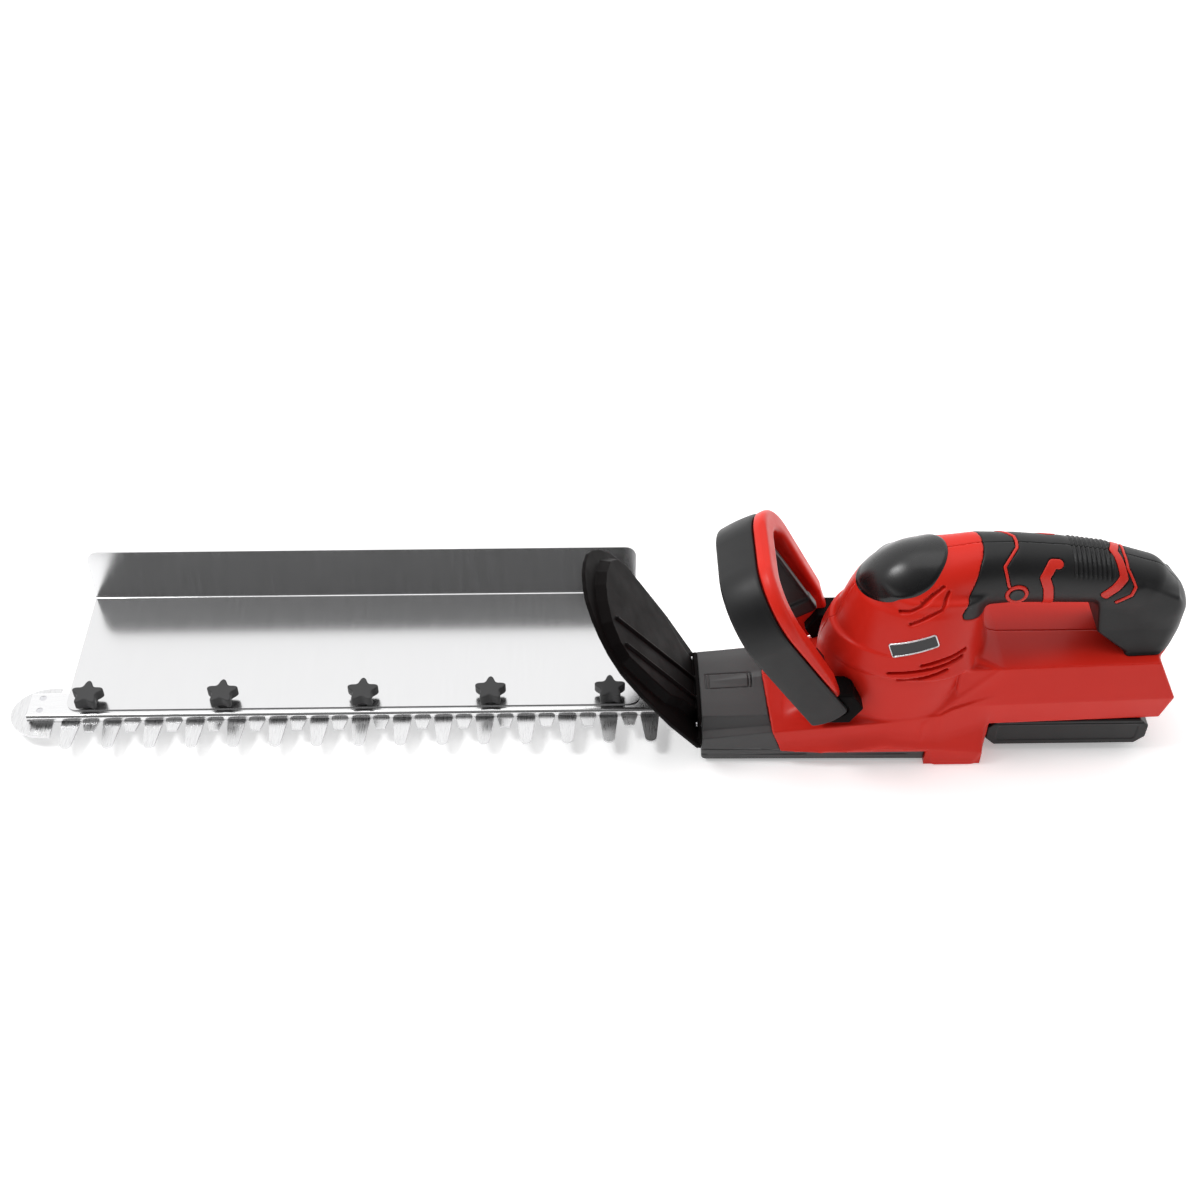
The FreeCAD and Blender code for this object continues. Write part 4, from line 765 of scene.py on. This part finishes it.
def lever_field(x, y, z):
    """Switch bar inside the loop, thicker at its lower ends."""
    up, out, depth = loop_places(x, y, z)
    body = smooth_max(slab(depth, 25, 32.4), slab(out, 11, 29), 2.2)
    block = smooth_max(smooth_max(slab(depth, 25, 34), slab(out, 10.5, 29.5), 2.5), up - 44, 2)
    return smooth_max(smooth_min(body, block, 2), 31 - up, 2.5)


SOCKET_X, SOCKET_Z = -12.0, 62.0


def socket_field(side):
    """Six-sided socket that carries one foot of the loop, side -1 near or +1 far, with a shallow dish."""
    def field(x, y, z):
        radius = np.hypot(x - SOCKET_X, z - SOCKET_Z)
        sector = np.mod(np.arctan2(z - SOCKET_Z, x - SOCKET_X), math.pi / 3) - math.pi / 6
        body = smooth_max(radius * np.cos(sector) - 14.6, slab(side * y, 30, 50.5), 2)
        return smooth_max(body, -(radius - 6.5 + np.maximum(0, 48.5 - side * y) * 5), 0.8)
    return field


GUARD = (math.radians(32.2), -118.0, 26.0)
GUARD_UP = (-10, 30, 70, 98, 114, 126, 135, 142, 145.5, 147)
GUARD_HALF = (47, 55, 58, 56.5, 51, 43, 34, 24, 13, 0)
PANEL_UP = (-13, 23, 42, 70, 100, 114, 126, 132, 133.5)
PANEL_HALF = (24, 33, 43, 47, 50, 45, 32, 15, 0)
PANEL_RISE = 6.5


def guard_plan(y, up, ups, halves):
    """Signed distance to an outline, the same on both sides, that is given by its half widths."""
    ring = [(half, level) for level, half in zip(ups, halves)]
    ring += [(-half, level) for level, half in reversed(list(zip(ups, halves))) if half > 0]
    return polygon(y, up, ring)


def guard_field(x, y, z):
    """Shield: a thin sheet with a raised panel, two slanted ribs and a foot that bolts to the gear case."""
    up, out = leaning(x, z, *GUARD)
    plan = smooth_max(guard_plan(y, up, GUARD_UP, GUARD_HALF) - 1.0, -10 - up, 1)
    panel = guard_plan(y, up, PANEL_UP, PANEL_HALF)
    rise = np.clip(-1.7 * panel, 0, PANEL_RISE)
    sheet = smooth_max(plan, smooth_max(rise - out, out - 3 - rise, 0.5) * 0.55, 1.2)
    rib = np.minimum(polyline(y, up, ((-12, -6), (-38, 104))), polyline(y, up, ((8, -6), (-22, 116)))) - 1.2
    ribs_up = smooth_max(smooth_max(rib, panel + 5, 1), slab(out, PANEL_RISE, PANEL_RISE + 4.8), 0.8)
    body = smooth_min(sheet, ribs_up, 0.8)
    foot = smooth_max(smooth_max(slab(x, -112.1, -109.1), case_section(x, np.abs(y), z), 1), 15 - z, 1)
    gusset = np.maximum(np.abs(np.abs(y) - 22) - 2, np.maximum(slab(x, -125, -111), slab(z, 20, 30)))
    body = smooth_min(smooth_min(body, foot, 1.5), gusset, 1)
    notch = np.maximum(np.maximum(np.abs(y) - 14, z - 23.2), slab(x, -140, -100))
    clear = np.maximum(CASE_FRONT - 0.05 - x, z - 50)
    return smooth_max(smooth_max(body, -notch, 0.5), -clear, 0.4)


# ------------------------------------------------------------------ battery and knobs
PACK_BEVEL = ((102.5, 14), (109.5, 7), (214.5, 7), (221.5, 14), (221.5, 25.6), (214.5, 32.6), (109.5, 32.6),
              (102.5, 25.6))


def battery_field(x, y, z):
    """Pack with bevelled ends, a seam line, side recesses, a rail block on top and its grooves."""
    ay = np.abs(y)
    body = smooth_max(polygon(x, z, PACK_BEVEL), ay - 38, 1.2)
    recess = rounded_box(x - 162, z - 19.8, 52, 8.0, 3)
    body = smooth_max(body, -np.maximum(recess, -(ay - 37.5)), 0.4)
    line = np.maximum(np.abs(z - 29.6) - 0.35, -(ay - 37.2))
    body = smooth_max(body, -line, 0.25)
    rail = smooth_max(smooth_max(slab(x, 116, 214), ay - 26.5, 0.6), slab(z, 31, 45.5), 0.8)
    body = smooth_min(body, rail, 0.4)
    groove = np.maximum(np.abs(ay - 24.5) - 2.2, slab(z, 34.6, 38.6))
    slots = np.maximum(np.maximum(np.abs(ay - 9) - 1.5, slab(z, 34.6, 43.5)), x - 124)
    pocket = np.maximum(np.maximum(ay - 10.4, slab(z, 13.6, 22.4)), 215.5 - x)
    return smooth_max(body, -np.minimum(np.minimum(groove, slots), pocket), 0.4)


KNOB_LOW = 22.8


def knob_field(x, y, z):
    """Star head with soft lobes over a round hub, with a blind bore."""
    radius = np.hypot(x, y)
    turn = np.arctan2(x, y)
    lobe = 9.35 + 2.25 * np.cos(5 * turn) + 0.35 * np.cos(10 * turn)
    head = smooth_max((radius - lobe) * 0.78, slab(z, KNOB_LOW + 3.6, KNOB_LOW + 12), 1.4)
    hub = smooth_max(radius - 6, slab(z, KNOB_LOW, KNOB_LOW + 6), 0.5)
    bore = np.maximum(radius - 2.7, z - KNOB_LOW - 9.6)
    return smooth_max(smooth_min(head, hub, 1), -bore, 0.3)


# ------------------------------------------------------------------ pieces
def make_pieces():
    mats = MATERIALS
    for side, word in ((-1, "left"), (1, "right")):
        field, low, high = housing(side)
        piece(f"shell_{word}", field, low, high, 1.05, "tool", mats["red_shell"],
              [f"housing_{word}"])
        field, low, high = handle(side)
        piece(f"soft_grip_{word}", field, low, high, 0.8, "tool", mats["black_grip"],
              [f"handle_{word}"])
        left, right = sorted((30 * side, 52 * side))
        socket = piece(f"loop_socket_{word}", socket_field(side), (-30, left, 44), (6, right, 80), 0.7,
                       "tool", mats["guard_black"])
        if side > 0:
            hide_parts("loop_sockets")
    piece("grip_inlays", trim_field, (90, -27, 118), (195, 27, 181), 0.55, "tool",
          mats["red_trim"])
    piece("ring", lambda x, y, z: lathe_y(x, y, z, 5.3, 8.0, -24.2, -17), (96, -26, 141), (114, -16, 159),
          0.45, "tool", mats["red_trim"], ["button_ring"])
    piece("lock_knob", button_field, (99, -26, 144), (111, -8, 156), 0.4, "lock_button",
          mats["black_button"], ["lock_button"])
    piece("trigger_lever", trigger_field, (109, -7, 124), (147, 7, 142), 0.6, "trigger",
          mats["black_button"], ["trigger"])
    piece("cap", cap_field, (-12, -30, 110), (62, 30, 178), 0.8, "tool", mats["black_gloss"],
          ["motor_cap"])
    piece("plate_border", label_border, (15, -48, 104), (55, -30, 133), 0.35, "tool", SILVER)
    piece("plate_face", label_face, (15, -48, 104), (55, -30, 133), 0.4, "tool",
          mats["label_plate"], ["label_plate"])
    piece("case_top", gear_case_field, (-110, -48, 13), (-49, 48, 43), 0.75, "tool",
          mats["grey_case"], ["gear_case"])
    piece("case_bottom", cover_field, (-110, -48, -1), (57, 48, 15), 0.9, "tool",
          mats["grey_case"], ["bottom_cover"])
    piece("strap", strap_field, (-104, -66, 40), (4, 66, 182), 0.9, "tool", mats["black_grip"],
          ["loop_grip"])
    piece("loop", loop_field, (-104, -66, 40), (14, 66, 186), 0.9, "tool", mats["red_shell"],
          ["loop_handle"])
    piece("squeeze_bar", lever_field, (-90, -40, 60), (0, 40, 165), 0.8, "switch_bar",
          mats["black_button"], ["front_switch_bar"])
    piece("shield", guard_field, (-204, -64, 10), (-100, 64, 160), 0.85, "tool",
          mats["guard_black"], ["guard"])
    piece("pack", battery_field, (101, -39, 6), (223, 39, 47), 0.8, "battery",
          mats["battery_black"], ["battery_case"])
    star = net(knob_field, (-13, -13, KNOB_LOW - 1), (13, 13, KNOB_LOW + 13), 0.5)
    for index in range(1, 6):
        low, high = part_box(f"star_knob_{index}")
        place = ((low.x + high.x) / 2 / MM, 0, 0)
        knob = mesh_object(f"knob_{index}", star[0] + place, star[1])
        knob.data.materials.append(mats["knob_grey"])
        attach(knob, f"knob_{index}")
        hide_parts(f"star_knob_{index}")


def finish_cad_nodes():
    """Give each CAD node the finish of its slot, and soften the edges of its metal parts."""
    slots = {row["node"]: row["material_slot"] for row in frame["record"]["subparts"]}
    for name, node in NODES.items():
        node.data.materials.clear()
        node.data.materials.append(MATERIALS[slots[name]])
        if slots[name] in ("blade_steel", "dark_spacer", "zinc_fastener"):
            edge = node.modifiers.new("edge", "BEVEL")
            edge.width = 0.35 * MM
            edge.segments = 2
            edge.limit_method = "ANGLE"


# ------------------------------------------------------------------ stage, light and camera
def make_stage():
    """Plain pale floor under the tool, and a surrounding that is dimmer towards the camera's side."""
    size = 6.0
    points = np.array([(-size, -size, 0), (size, -size, 0), (size, size, 0), (-size, size, 0)]) / MM
    floor = mesh_object("floor", points, np.array([[0, 1, 2, 3]]))
    floor.data.materials.append(new_material("floor_finish", (0.97, 0.97, 0.97), rough=0.9,
                                             Emission_Color=(1, 1, 1, 1), Emission_Strength=0.32))
    world = bpy.data.worlds.new("studio")
    world.use_nodes = True
    tree = world.node_tree
    sky = tree.nodes["Background"]
    sky.inputs["Color"].default_value = (1, 1, 1, 1)
    around = tree.nodes.new("ShaderNodeTexCoord")
    axes = tree.nodes.new("ShaderNodeSeparateXYZ")
    fade = tree.nodes.new("ShaderNodeMapRange")
    for word, value in (("From Min", -0.75), ("From Max", 0.55), ("To Min", 0.14), ("To Max", 1.3)):
        fade.inputs[word].default_value = value
    tree.links.new(around.outputs["Generated"], axes.inputs["Vector"])
    tree.links.new(axes.outputs["Y"], fade.inputs["Value"])
    tree.links.new(fade.outputs["Result"], sky.inputs["Strength"])
    bpy.context.scene.world = world
    bpy.context.scene.view_settings.view_transform = "Standard"


def area_light(name, place, target, size, power):
    """Square lamp at a place, aimed at a target."""
    lamp = bpy.data.lights.new(name, "AREA")
    lamp.shape, lamp.size, lamp.energy = "SQUARE", size, power
    made = bpy.data.objects.new(name, lamp)
    made.location = place
    made.rotation_euler = (Vector(target) - Vector(place)).to_track_quat("-Z", "Y").to_euler()
    bpy.context.scene.collection.objects.link(made)


def make_lights():
    area_light("key", (-1.3, 0.0, 1.7), (0, 0, 0.05), 0.5, 14)
    area_light("top", (-0.1, 0.3, 2.2), (-0.1, 0, 0), 1.6, 9)


CAMERA_YAW, CAMERA_PITCH = math.radians(0.885), math.radians(44.855)
CAMERA_PLACE = Vector((-196.22, -838.82, 960.34)) * MM


def make_camera():
    """Camera solved from the blade's straight edges and even tooth pitch."""
    level = math.cos(CAMERA_PITCH)
    ahead = Vector((math.sin(CAMERA_YAW) * level, math.cos(CAMERA_YAW) * level, -math.sin(CAMERA_PITCH)))
    right = Vector((math.cos(CAMERA_YAW), -math.sin(CAMERA_YAW), 0))
    up = right.cross(ahead)
    lens = bpy.data.cameras.new("camera")
    lens.lens, lens.sensor_width = 50, 36
    camera = bpy.data.objects.new("camera", lens)
    turned = Matrix((right, up, -ahead)).transposed().to_4x4()
    camera.matrix_world = Matrix.Translation(CAMERA_PLACE) @ turned
    bpy.context.scene.collection.objects.link(camera)
    bpy.context.scene.camera = camera


make_camera()
make_stage()
make_lights()
finish_cad_nodes()
make_pieces()
